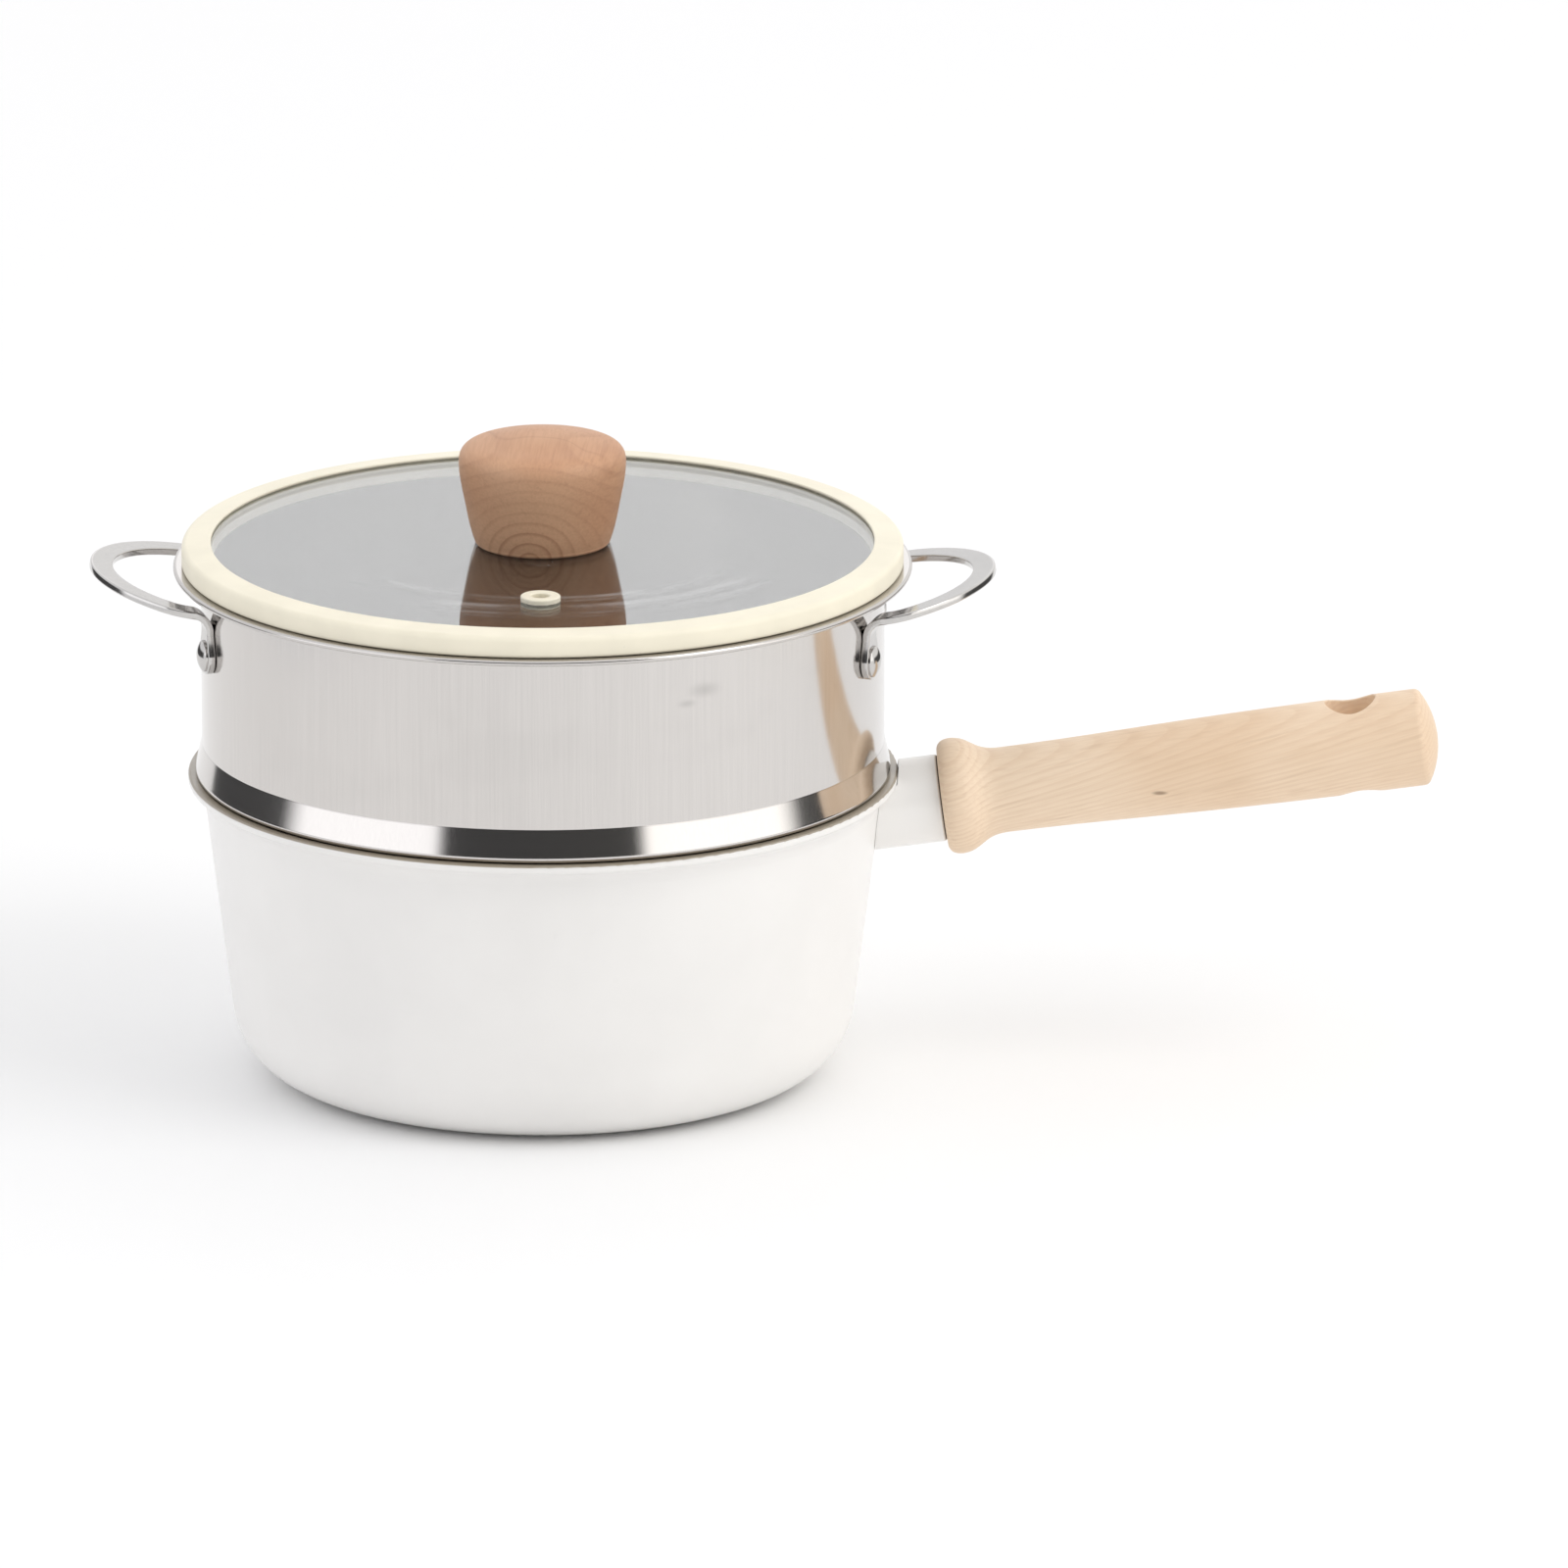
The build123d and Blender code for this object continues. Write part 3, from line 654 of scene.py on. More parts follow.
@dataclass(frozen=True)
class TurnedWood(Finish):
    """Wood with growth rings round an axis of its own, flecks along the grain, fibres and knots."""

    pale: Colour = from_screen(243, 220, 193)
    warm: Colour = from_screen(233, 205, 174)
    line: Colour = from_screen(212, 174, 138)
    heart: Vector = field(default_factory=lambda: Vector((0.0, 0.0, 0.0)))
    grain: Vector = field(default_factory=lambda: Vector((1.0, 0.0, 0.0)))
    ring_width: float = 2.6 * MM
    ring_change: float = 0.37
    line_start: float = 0.35
    line_strength: float = 0.5
    far_strength: float = 0.5
    fade_radius: float = 12.0 * MM
    wobble: float = 1.2 * MM
    wobble_scale: float = 26.0
    patch_scale: float = 18.0
    fleck_scale: float = 620.0
    fleck_strength: float = 0.25
    fibre_scale: float = 1500.0
    fibre_squeeze: float = 0.965
    fibre_depth: float = 0.02 * MM
    roughness: float = 0.48
    oil: float = 0.06
    oil_roughness: float = 0.35
    vein_scale: float = 30.0
    vein_strength: float = 0.0
    vein_bottom: float = 0.0
    vein_fade: float = 4.0 * MM
    knots: tuple[tuple[Vector, float], ...] = ()

    def wobbled(self, sheet: NodeSheet, place: bpy.types.NodeSocket) -> bpy.types.NodeSocket:
        """Push a place about, so that the rings are not quite round.

        Args:
            sheet: The sheet to add to.
            place: Coordinates in metres.

        Returns:
            The place after the push.
        """
        push = sheet.add("ShaderNodeTexNoise", values={
            "Vector": place, "Scale": self.wobble_scale, "Detail": 2.0, "Roughness": 0.5,
        }).outputs["Color"]
        push = sheet.vector("SUBTRACT", push, (0.5, 0.5, 0.5)).outputs[0]
        push = sheet.vector("SCALE", push)
        push.inputs["Scale"].default_value = 2 * self.wobble
        return sheet.vector("ADD", place, push.outputs[0]).outputs[0]

    def squeezed(self, sheet: NodeSheet, place: bpy.types.NodeSocket) -> bpy.types.NodeSocket:
        """Squeeze a place along the grain, which stretches what it feeds into fibres.

        Args:
            sheet: The sheet to add to.
            place: Coordinates in metres.

        Returns:
            The squeezed coordinates.
        """
        grain = self.grain.normalized()
        keep = Matrix.Identity(3) - self.fibre_squeeze * Matrix([[a * b for b in grain] for a in grain])
        rows = [sheet.vector("DOT_PRODUCT", place, tuple(row)).outputs["Value"] for row in keep]
        return sheet.vector_of(*rows)

    def surface(self, sheet: NodeSheet) -> bpy.types.NodeSocket:
        """Build the wood from the distance to its heart.

        Args:
            sheet: The sheet to add to.

        Returns:
            The shader's output.
        """
        place = sheet.place()
        offset = sheet.vector("SUBTRACT", self.wobbled(sheet, place), tuple(self.heart)).outputs[0]
        across = sheet.vector("CROSS_PRODUCT", offset, tuple(self.grain.normalized())).outputs[0]
        distance = Signal(sheet, sheet.vector("LENGTH", across).outputs["Value"])
        rings = distance / self.ring_width
        late = sheet.band(rings.fraction(), (self.line_start, 0.9), (0.92, 1.0))
        strength = sheet.noise(sheet.vector_of(rings * self.ring_change, 0.0, 0.0), 1.0, detail=1.0)
        squeezed = self.squeezed(sheet, place)
        fibre = sheet.noise(squeezed, self.fibre_scale, detail=3.0, rough=0.6)
        fleck = sheet.noise(squeezed, self.fleck_scale, detail=1.0)
        patch = sheet.noise(place, self.patch_scale)

        colour = sheet.stain(self.pale, self.warm, patch, 0.3, 0.7)
        contrast = sheet.step(
            distance, self.fade_radius, 2 * self.fade_radius, start=self.line_strength, end=self.far_strength
        )
        colour = sheet.mix(late * (0.35 + strength) * contrast, colour, self.line)
        colour = sheet.stain(colour, shaded(self.line, 0.8), fleck, 0.62, 0.74, strength=self.fleck_strength)
        colour = sheet.stain(colour, shaded(self.line, 0.85), fibre, 0.35, 0.7, strength=0.14)
        if self.vein_strength:
            x, y, z = sheet.split(place)
            bands = sheet.noise(sheet.vector_of(x, y, z * 3.0), self.vein_scale, detail=1.0, bend=0.4)
            vein = sheet.step((bands - 0.5).size(), 0.0, 0.03, start=self.vein_strength, end=0.0)
            upper = sheet.step(z, self.vein_bottom, self.vein_bottom + self.vein_fade)
            colour = sheet.mix(vein * upper, colour, shaded(self.line, 0.85))
        for centre, size in self.knots:
            near = sheet.distance(place, centre, (0.45, 1.0, 1.5))
            spot = sheet.step(near, size * 0.3, size, start=0.75, end=0.0)
            colour = sheet.mix(spot, colour, shaded(self.line, 0.4))
        return self.shader(sheet, {
            "Base Color": colour,
            "Roughness": self.roughness + fibre * 0.12,
            "Coat Weight": self.oil,
            "Coat Roughness": self.oil_roughness,
            "Normal": sheet.bump(fibre * 0.7 + late * 0.3, self.fibre_depth, 0.4),
        })


@dataclass
class Assembly:
    """A group of frame nodes that belong together, with the ways to dress them."""

    frame: dict

    def dress(self, node: str, finish: Finish) -> None:
        """Put a finish on a frame node as it is.

        Args:
            node: The node's name.
            finish: What it is made of.
        """
        piece = self.frame["nodes"][node]
        material = finish.material()
        for slot in piece.material_slots:
            slot.material = material
        if not piece.material_slots:
            piece.data.materials.append(material)
        LOG.info("%s dressed as %s", node, finish.name)

    @staticmethod
    def mesh_piece(name: str, shape: Shape, finish: Finish, body: Body, node: str) -> None:
        """Make a mesh into a piece that rides on a body and replaces a node.

        Args:
            name: The piece's name.
            shape: Corner points in metres and the corner numbers of each face.
            finish: What it is made of. Its name becomes the material's name.
            body: The body that it moves with.
            node: The frame node that it stands for.
        """
        points, faces = shape
        mesh = bpy.data.meshes.new(name)
        mesh.from_pydata([tuple(point) for point in points], [], faces)
        work = bmesh.new()
        work.from_mesh(mesh)
        bmesh.ops.remove_doubles(work, verts=work.verts, dist=0.001 * MM)
        bmesh.ops.recalc_face_normals(work, faces=work.faces)
        work.to_mesh(mesh)
        work.free()
        mesh.materials.append(finish.material())
        mesh.shade_smooth()
        Assembly.attach(placed(name, mesh), body, finish.name, node)

    @staticmethod
    def attach(piece: bpy.types.Object, body: Body, slot: str, *nodes: str) -> None:
        """Args:
            piece: The piece.
            body: The body that it rides on.
            slot: The record's material slot. Not used.
            nodes: The frame nodes that it replaces.
        """
        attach(piece, body.value)
        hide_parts(*nodes)
        LOG.info("%s made with %d faces on body %s", piece.name, len(piece.data.polygons), body.value)


POLISHED_STEEL = WorkedMetal("polished_steel", colour=(0.6, 0.585, 0.57), roughness=0.07, line_scale=900.0)
CREAM = SoftRubber("cream_silicone")


@dataclass
class Saucepan(Assembly):
    """The coated pan with its base disc and its long wooden handle."""

    handle_joint: Vector = field(default_factory=lambda: Vector((108.3, 0.0, 75.9)) * MM)
    handle_rise: float = math.radians(7.5)
    grain_tilt: float = math.radians(-9.0)
    heart_along: float = 70.0 * MM
    heart_aside: Vector = field(default_factory=lambda: Vector((0.0, 35.0, -120.0)) * MM)
    knot: Vector = field(default_factory=lambda: Vector((167.6, -12.3, 80.5)) * MM)
    knot_size: float = 1.3 * MM

    def build(self) -> None:
        """Dress the pan and its handle."""
        self.dress("pan_body", PanCoating("pan_coating"))
        self.dress("handle_socket", PanCoating("socket_coating", outside=(0.93, 0.915, 0.89), lined=False))
        self.dress("pan_base_disc", WorkedMetal(
            "base_disc_steel", colour=(0.6, 0.59, 0.57), roughness=0.24, lines_in_rings=True,
            line_scale=2400.0, line_depth=0.01 * MM,
        ))
        self.dress("handle_gasket", SoftRubber("dark_gasket", colour=from_screen(70, 62, 56), roughness=0.6))
        self.dress("handle_stud", WorkedMetal("stud_zinc", colour=(0.6, 0.61, 0.63), roughness=0.25))
        self.dress("handle_thread_insert", WorkedMetal("insert_brass", colour=BRASS, roughness=0.2))
        self.dress("handle_grip", self.grip_wood())

    def grip_wood(self) -> TurnedWood:
        """Choose the grip's wood: pale, with long slanted growth lines and one small knot.

        Returns:
            The finish.
        """
        along = Vector((math.cos(self.handle_rise), 0.0, math.sin(self.handle_rise)))
        return TurnedWood(
            "handle_wood",
            heart=self.handle_joint + along * self.heart_along + self.heart_aside,
            grain=Matrix.Rotation(self.grain_tilt, 3, "Y") @ along,
            ring_width=1.5 * MM,
            line_strength=0.22,
            far_strength=0.22,
            wobble=2.2 * MM,
            wobble_scale=9.0,
            fleck_strength=0.16,
            knots=((self.knot, self.knot_size),),
        )


@dataclass(frozen=True)
class Outline:
    """A line through corners in a half plane, each corner rounded, that can be turned about Z.

    A corner is its radius from the axis, its height and its rounding, all in metres.
    """

    corners: tuple[tuple[float, float, float], ...]
    closed: bool = True
    corner_steps: int = 8
    margin: float = 0.3 * MM

    def samples(self) -> list[tuple[Vector, Vector]]:
        """Follow the line.

        Returns:
            Points along the line, each with the line's direction there.
        """
        count = len(self.corners)
        spots = [Vector((radius, height)) for radius, height, _ in self.corners]
        found = []
        for number, (spot, (_, _, rounding)) in enumerate(zip(spots, self.corners)):
            inner = self.closed or 0 < number < count - 1
            if inner:
                before = (spots[number - 1] - spot).normalized()
                after = (spots[(number + 1) % count] - spot).normalized()
            if inner and rounding > 0:
                found += self.arc(spot, before, after, rounding)
            elif inner:
                found += [(spot, -before), (spot, after)]
            else:
                beside = spots[1] - spot if number == 0 else spot - spots[number - 1]
                found.append((spot, beside.normalized()))
        return self.with_margins(found)

    def arc(self, spot: Vector, before: Vector, after: Vector,
            rounding: float) -> list[tuple[Vector, Vector]]:
        """Round one corner.

        Args:
            spot: The sharp corner.
            before: The way back to the corner before it.
            after: The way on to the next corner.
            rounding: The arc's radius.

        Returns:
            Points on the arc with their directions.
        """
        half = before.angle(after) / 2
        centre = spot + (before + after).normalized() * (rounding / math.sin(half))
        first = spot + before * (rounding / math.tan(half)) - centre
        sweep = math.pi - 2 * half
        if first.x * -before.y + first.y * before.x < 0:
            sweep = -sweep
        points = []
        for step in range(self.corner_steps + 1):
            turn = Matrix.Rotation(sweep * step / self.corner_steps, 2)
            points.append((centre + turn @ first, turn @ -before))
        return points

    def with_margins(self, found: list[tuple[Vector, Vector]]) -> list[tuple[Vector, Vector]]:
        """Add points close to the ends of each long straight run, which keep its shading flat.

        Args:
            found: Points with their directions.

        Returns:
            The same with more points.
        """
        result = []
        following = found[1:] + found[:1] if self.closed else found[1:]
        for (point, direction), (other, _) in zip(found, following):
            result.append((point, direction))
            run = other - point
            if run.length > 4 * self.margin:
                way = run.normalized()
                result += [(point + way * self.margin, way), (other - way * self.margin, way)]
        if not self.closed:
            result.append(found[-1])
        return result

    def beside(self, distance: float) -> list[Vector]:
        """Return the line moved to its left by a distance."""
        return [point + Vector((-way.y, way.x)) * distance for point, way in self.samples()]


def grid_faces(rows: int, columns: int, rows_closed: bool, columns_closed: bool) -> list[list[int]]:
    """Join points that lie row after row.

    Args:
        rows: How many rows there are.
        columns: How many points a row has.
        rows_closed: True joins the last row to the first.
        columns_closed: True joins each row's last point to its first.

    Returns:
        The corner numbers of each face.
    """
    faces = []
    for row in range(rows if rows_closed else rows - 1):
        here = row * columns
        there = (row + 1) % rows * columns
        for column in range(columns if columns_closed else columns - 1):
            beside = (column + 1) % columns
            faces.append([here + column, here + beside, there + beside, there + column])
    return faces


def turned(line: list[Vector], closed: bool, steps: int = 288) -> Shape:
    """Turn a line of radius and height about Z.

    Args:
        line: Points in the half plane.
        closed: True joins the last point to the first.
        steps: How many flats go round.

    Returns:
        Points and faces.
    """
    points = []
    for step in range(steps):
        angle = 2 * math.pi * step / steps
        points += [Vector((spot.x * math.cos(angle), spot.x * math.sin(angle), spot.y)) for spot in line]
    return points, grid_faces(steps, len(line), True, closed)


@dataclass(frozen=True)
class StrapPlace:
    """One cross-section of a loop's strap.

    Field across points to the loop's inside and field ahead along the strap, each as a share of
    the half width. Only the round end of a plate has an ahead, and there both change.
    """

    centre: Vector
    across: Vector
    facing: Vector
    half: float
    ahead: Vector = field(default_factory=lambda: Vector((0.0, 0.0, 0.0)))

    def point(self, side: float, inset: float, height: float) -> Vector:
        """Return one corner: which edge (+1 inside, -1 outside), how far inside it and how high."""
        return self.centre + (self.ahead + self.across * side) * (self.half - inset) + self.facing * height

    def mirrored(self) -> "StrapPlace":
        """Return the same place on the loop's other leg."""
        centre, across, facing = (OTHER_SIDE @ vector for vector in (self.centre, self.across, self.facing))
        return StrapPlace(centre, across, facing, self.half, OTHER_SIDE @ self.ahead)


@dataclass(frozen=True)
class StrapLoop:
    """The shape of a loop whose middle points to +X: plates on the wall, bends, knees and a wide arc."""

    wall_radius: float = WALL_RADIUS
    wall_gap: float = 0.05 * MM
    reach: float = 122.8 * MM
    tip_height: float = 142.7 * MM
    rise: float = math.radians(12.0)
    half_angle: float = math.radians(17.6)
    width: float = 6.2 * MM
    thickness: float = 2.0 * MM
    edge_radius: float = 0.4 * MM
    edge_margin: float = 0.25 * MM
    bend_radius: float = 5.5 * MM
    knee_radius: float = 10.0 * MM
    plate_radius: float = 5.0 * MM
    neck_above_bend: float = 0.5 * MM
    rivet_drop: float = 11.7 * MM
    corner_steps: int = 4
    round_steps: int = 20
    arc_steps: int = 28

    @property
    def out(self) -> Vector:
        """The way from the pot to the tip, in the loop's plane."""
        return Vector((math.cos(self.rise), 0.0, math.sin(self.rise)))

    @property
    def normal(self) -> Vector:
        """The upward normal of the loop's plane."""
        return Vector((-math.sin(self.rise), 0.0, math.cos(self.rise)))

    @property
    def tip(self) -> Vector:
        """The middle of the strap at the loop's tip."""
        edge = Vector((self.reach, 0.0, self.tip_height))
        return edge - self.out * (self.width / 2) - self.normal * (self.thickness / 2)

    @property
    def outward(self) -> Vector:
        """The way out of the wall at the leg on the +Y side."""
        return Vector((math.cos(self.half_angle), math.sin(self.half_angle), 0.0))

    @property
    def inward(self) -> Vector:
        """The way across the leg, towards the loop's inside."""
        return self.outward.cross(self.normal).normalized()

    @property
    def up(self) -> Vector:
        """The way up the plate."""
        return self.inward.cross(self.outward).normalized()

    @property
    def corner(self) -> Vector:
        """Find where the plate's middle line and the leg's would meet without a bend.

        Returns:
            The point.
        """
        foot = self.outward * (self.wall_radius + self.wall_gap + self.thickness / 2)
        height = self.tip.z + math.tan(self.rise) * (foot.x - self.tip.x)
        return Vector((foot.x, foot.y, height))

    @property
    def eye(self) -> Vector:
        """The middle of the plate's round end, where the rivet goes through."""
        return self.corner - self.up * self.rivet_drop

    def plate(self) -> list[StrapPlace]:
        """Follow the plate on the wall.

        Returns:
            The places of its round end and its neck.
        """
        neck = self.rivet_drop - self.bend_radius + self.neck_above_bend
        half = self.width / 2
        touch = math.atan2(half, neck) + math.acos(self.plate_radius / math.hypot(neck, half))
        places = []
        for step in range(self.round_steps + 1):
            angle = (math.pi - touch) * step / self.round_steps
            across = self.inward * math.sin(angle)
            ahead = self.up * -math.cos(angle)
            places.append(StrapPlace(self.eye, across, self.outward, self.plate_radius, ahead))
        places.append(StrapPlace(self.eye + self.up * neck, self.inward, self.outward, half))
        return places

    def bend(self, leaving: Vector) -> list[StrapPlace]:
        """Follow the bend from the plate to the leg.

        Args:
            leaving: The leg's direction after the bend.

        Returns:
            The places of the bend.
        """
        turn = math.acos(self.up.dot(leaving))
        setback = self.bend_radius * math.tan(turn / 2)
        centre = self.corner - self.up * setback + self.outward * self.bend_radius
        places = []
        for step in range(self.round_steps + 1):
            angle = turn * step / self.round_steps
            facing = self.outward * math.cos(angle) - self.up * math.sin(angle)
            places.append(StrapPlace(centre - facing * self.bend_radius, self.inward, facing, self.width / 2))
        return places

    def arc(self, centre: Vector, first: Vector, last: Vector) -> list[StrapPlace]:
        """Follow an arc in the loop's plane, given in that plane's two coordinates.

        Args:
            centre: The arc's centre.
            first: Where it starts.
            last: Where it ends, clockwise from the start.

        Returns:
            The places after the start.
        """
        radius = (first - centre).length
        start = math.atan2(first.y - centre.y, first.x - centre.x)
        end = math.atan2(last.y - centre.y, last.x - centre.x)
        middle = self.tip + self.out * centre.x + SIDEWAYS * centre.y
        places = []
        for step in range(1, self.arc_steps + 1):
            angle = start + (end - start) * step / self.arc_steps
            away = self.out * math.cos(angle) + SIDEWAYS * math.sin(angle)
            places.append(StrapPlace(middle + away * radius, -away, -self.normal, self.width / 2))
        return places

    def places(self) -> list[StrapPlace]:
        """Follow the whole strap.

        Returns:
            Every place from the +Y plate round the tip to the -Y plate.
        """
        leaving = self.normal.cross(self.inward).normalized()
        bend = self.bend(leaving)
        start = self.flat(bend[-1].centre - self.tip)
        heading = self.flat(leaving)
        knee = start + Vector((heading.y, -heading.x)) * self.knee_radius
        wide_radius = (knee.length_squared - self.knee_radius ** 2) / (2 * (-knee.x - self.knee_radius))
        wide = Vector((-wide_radius, 0.0))
        meeting = wide + (knee - wide).normalized() * wide_radius
        leg = self.plate() + bend + self.arc(knee, start, meeting)
        leg += self.arc(wide, meeting, Vector((0.0, 0.0)))
        return leg + [place.mirrored() for place in reversed(leg[:-1])]

    def flat(self, vector: Vector) -> Vector:
        """Return a vector's two coordinates in the loop's plane."""
        return Vector((vector.dot(self.out), vector.y))

    def profile(self) -> list[Pair]:
        """Draw the rounded edge of the strap.

        Returns:
            Pairs of inset and height, from the lower face up.
        """
        radius = self.edge_radius
        core = self.thickness / 2 - radius
        pairs = [(radius + self.edge_margin, -self.thickness / 2)]
        for level, first in ((-core, -math.pi / 2), (core, 0.0)):
            for step in range(self.corner_steps + 1):
                angle = first + math.pi / 2 * step / self.corner_steps
                pairs.append((radius * (1 - math.cos(angle)), level + radius * math.sin(angle)))
        pairs.append((radius + self.edge_margin, self.thickness / 2))
        return pairs

    def mesh(self, turn: float) -> Shape:
        """Sweep the profile along the places.

        Args:
            turn: How far the loop is turned about Z.

        Returns:
            Points and faces.
        """
        spin = Matrix.Rotation(turn, 3, "Z")
        profile = self.profile()
        ring = [(1.0, *pair) for pair in profile] + [(-1.0, *pair) for pair in reversed(profile)]
        places = self.places()
        points = [spin @ place.point(*corner) for place in places for corner in ring]
        return points, grid_faces(len(places), len(ring), False, True)

    def rivet_seats(self, turn: float) -> list[tuple[Vector, Vector]]:
        """Find the seats of the loop's two rivet heads.

        Args:
            turn: How far the loop is turned about Z.

        Returns:
            Where each head stands and which way it faces.
        """
        spin = Matrix.Rotation(turn, 3, "Z")
        seat = self.eye + self.outward * (self.thickness / 2)
        return [(spin @ side @ seat, spin @ side @ self.outward) for side in (Matrix.Identity(3), OTHER_SIDE)]


@dataclass(frozen=True)
class RivetNodes:
    """Geometry nodes that set one domed rivet on every seat."""

    head_radius: float = 4.3 * MM
    head_height: float = 1.9 * MM
    head_rim: float = 0.5 * MM
    shank_radius: float = 2.0 * MM
    shank_length: float = 2.95 * MM
    tail_radius: float = 3.6 * MM
    tail_height: float = 1.0 * MM
    tail_rim: float = 0.4 * MM
    around: int = 48
    rows: int = 36
    crown_share: float = 0.985

    def sizes(self) -> dict[str, float]:
        """Name the sizes as the node group's inputs.

        Returns:
            The value of each input.
        """
        return {
            "Head Radius": self.head_radius,
            "Head Height": self.head_height,
            "Head Rim": self.head_rim,
            "Shank Radius": self.shank_radius,
            "Shank Length": self.shank_length,
            "Tail Radius": self.tail_radius,
            "Tail Height": self.tail_height,
            "Tail Rim": self.tail_rim,
        }

    def spun(self, sheet: NodeSheet, height: Signal, radius: Signal) -> bpy.types.NodeSocket:
        """Turn a radius rule into a closed solid round the Z axis.

        Args:
            sheet: The sheet to add to.
            height: Height of each row.
            radius: Radius of each row.

        Returns:
            The mesh.
        """
        line = sheet.add("GeometryNodeCurvePrimitiveLine", values={"End": (0.0, 0.0, 1.0)})
        rows = sheet.add("GeometryNodeResampleCurve", values={
            "Curve": line.outputs["Curve"], "Count": self.rows,
        })
        moved = sheet.add("GeometryNodeSetPosition", values={
            "Geometry": rows.outputs["Curve"], "Position": sheet.vector_of(0.0, 0.0, height),
        })
        sized = sheet.add("GeometryNodeSetCurveRadius", values={
            "Curve": moved.outputs["Geometry"], "Radius": radius,
        })
        circle = sheet.add("GeometryNodeCurvePrimitiveCircle", values={
            "Resolution": self.around, "Radius": 1.0,
        })
        tube = sheet.add("GeometryNodeCurveToMesh", values={
            "Curve": sized.outputs["Curve"], "Profile Curve": circle.outputs["Curve"], "Fill Caps": True,
        })
        if "Scale" in tube.inputs:
            sheet.feed(tube.inputs["Scale"], radius)
        return tube.outputs["Mesh"]

    def dome(self, sheet: NodeSheet, share: Signal, part: dict[str, Signal]) -> bpy.types.NodeSocket:
        """Make a dome on a short upright rim, cut from a ball.

        Args:
            sheet: The sheet to add to.
            share: How far each row is on the way up.
            part: The dome's "Radius", "Height" and "Rim".

        Returns:
            The mesh.
        """
        radius, height, rim = part["Radius"], part["Height"], part["Rim"]
        crown = height - rim
        ball = (radius * radius + crown * crown) / (2 * crown)
        level = height * sheet.math("SINE", share * (self.crown_share * math.pi / 2))
        drop = level - (height - ball)
        rule = (ball * ball - drop * drop).above(0.0) ** 0.5
        return self.spun(sheet, level, rule.below(radius))

    def tree(self) -> bpy.types.GeometryNodeTree:
        """Build the node group.

        Returns:
            The group, with one named input for each size and one for the material.
        """
        tree = bpy.data.node_groups.new("rivets_on_seats", "GeometryNodeTree")
        tree.interface.new_socket("Seats", in_out="INPUT", socket_type="NodeSocketGeometry")
        for name in self.sizes():
            tree.interface.new_socket(name, in_out="INPUT", socket_type="NodeSocketFloat")
        tree.interface.new_socket("Metal", in_out="INPUT", socket_type="NodeSocketMaterial")
        tree.interface.new_socket("Rivets", in_out="OUTPUT", socket_type="NodeSocketGeometry")
        sheet = NodeSheet(tree)
        given = sheet.add("NodeGroupInput").outputs
        size = {name: Signal(sheet, given[name]) for name in self.sizes()}
        share = Signal(sheet, sheet.add("GeometryNodeInputIndex").outputs["Index"]) / (self.rows - 1)

        head, tail = (
            self.dome(sheet, share, {part: size[f"{end} {part}"] for part in ("Radius", "Height", "Rim")})
            for end in ("Head", "Tail")
        )
        foot = sheet.vector_of(0.0, 0.0, size["Shank Length"] * -1.0)
        tail = sheet.add("GeometryNodeTransform", values={
            "Geometry": tail, "Translation": foot, "Rotation": (math.pi, 0.0, 0.0),
        }).outputs["Geometry"]
        shank = self.spun(sheet, (share - 1.0) * size["Shank Length"], size["Shank Radius"])
        join = sheet.add("GeometryNodeJoinGeometry")
        for part in (head, tail, shank):
            sheet.feed(join.inputs[0], part)
        smooth = sheet.add("GeometryNodeSetShadeSmooth", values={"Geometry": join.outputs[0]})
        facing = sheet.add(
            "GeometryNodeInputNamedAttribute", {"data_type": "FLOAT_VECTOR"}, {"Name": "facing"}
        ).outputs["Attribute"]
        turn = sheet.add("FunctionNodeAlignRotationToVector", {"axis": "Z"}, {"Vector": facing})
        rivets = sheet.add("GeometryNodeInstanceOnPoints", values={
            "Points": given["Seats"],
            "Instance": smooth.outputs["Geometry"],
            "Rotation": turn.outputs["Rotation"],
        })
        real = sheet.add("GeometryNodeRealizeInstances", values={"Geometry": rivets.outputs["Instances"]})
        metal = sheet.add("GeometryNodeSetMaterial", values={
            "Geometry": real.outputs["Geometry"], "Material": given["Metal"],
        })
        sheet.feed(sheet.add("NodeGroupOutput").inputs["Rivets"], metal.outputs["Geometry"])
        return tree

    def mesh(self, name: str, seats: list[tuple[Vector, Vector]],
             metal: bpy.types.Material) -> bpy.types.Mesh:
        """Run the nodes on the seats.

        Args:
            name: The mesh's name.
            seats: Pairs of place and facing.
            metal: The rivets' material.

        Returns:
            One plain mesh with every rivet.
        """
        points = bpy.data.meshes.new(f"{name}_seats")
        points.from_pydata([tuple(place) for place, _ in seats], [], [])
        facing = points.attributes.new("facing", "FLOAT_VECTOR", "POINT")
        for item, (_, direction) in zip(facing.data, seats):
            item.vector = direction
        holder = placed(f"{name}_seats", points)
        modifier = holder.modifiers.new("rivets", "NODES")
        modifier.node_group = self.tree()
        values = {**self.sizes(), "Metal": metal}
        for item in modifier.node_group.interface.items_tree:
            if item.in_out == "INPUT" and item.name in values:
                modifier[item.identifier] = values[item.name]
        shown = holder.evaluated_get(bpy.context.evaluated_depsgraph_get())
        mesh = bpy.data.meshes.new_from_object(shown)
        mesh.name = name
        holder.modifiers.clear()
        bpy.data.objects.remove(holder)
        return mesh


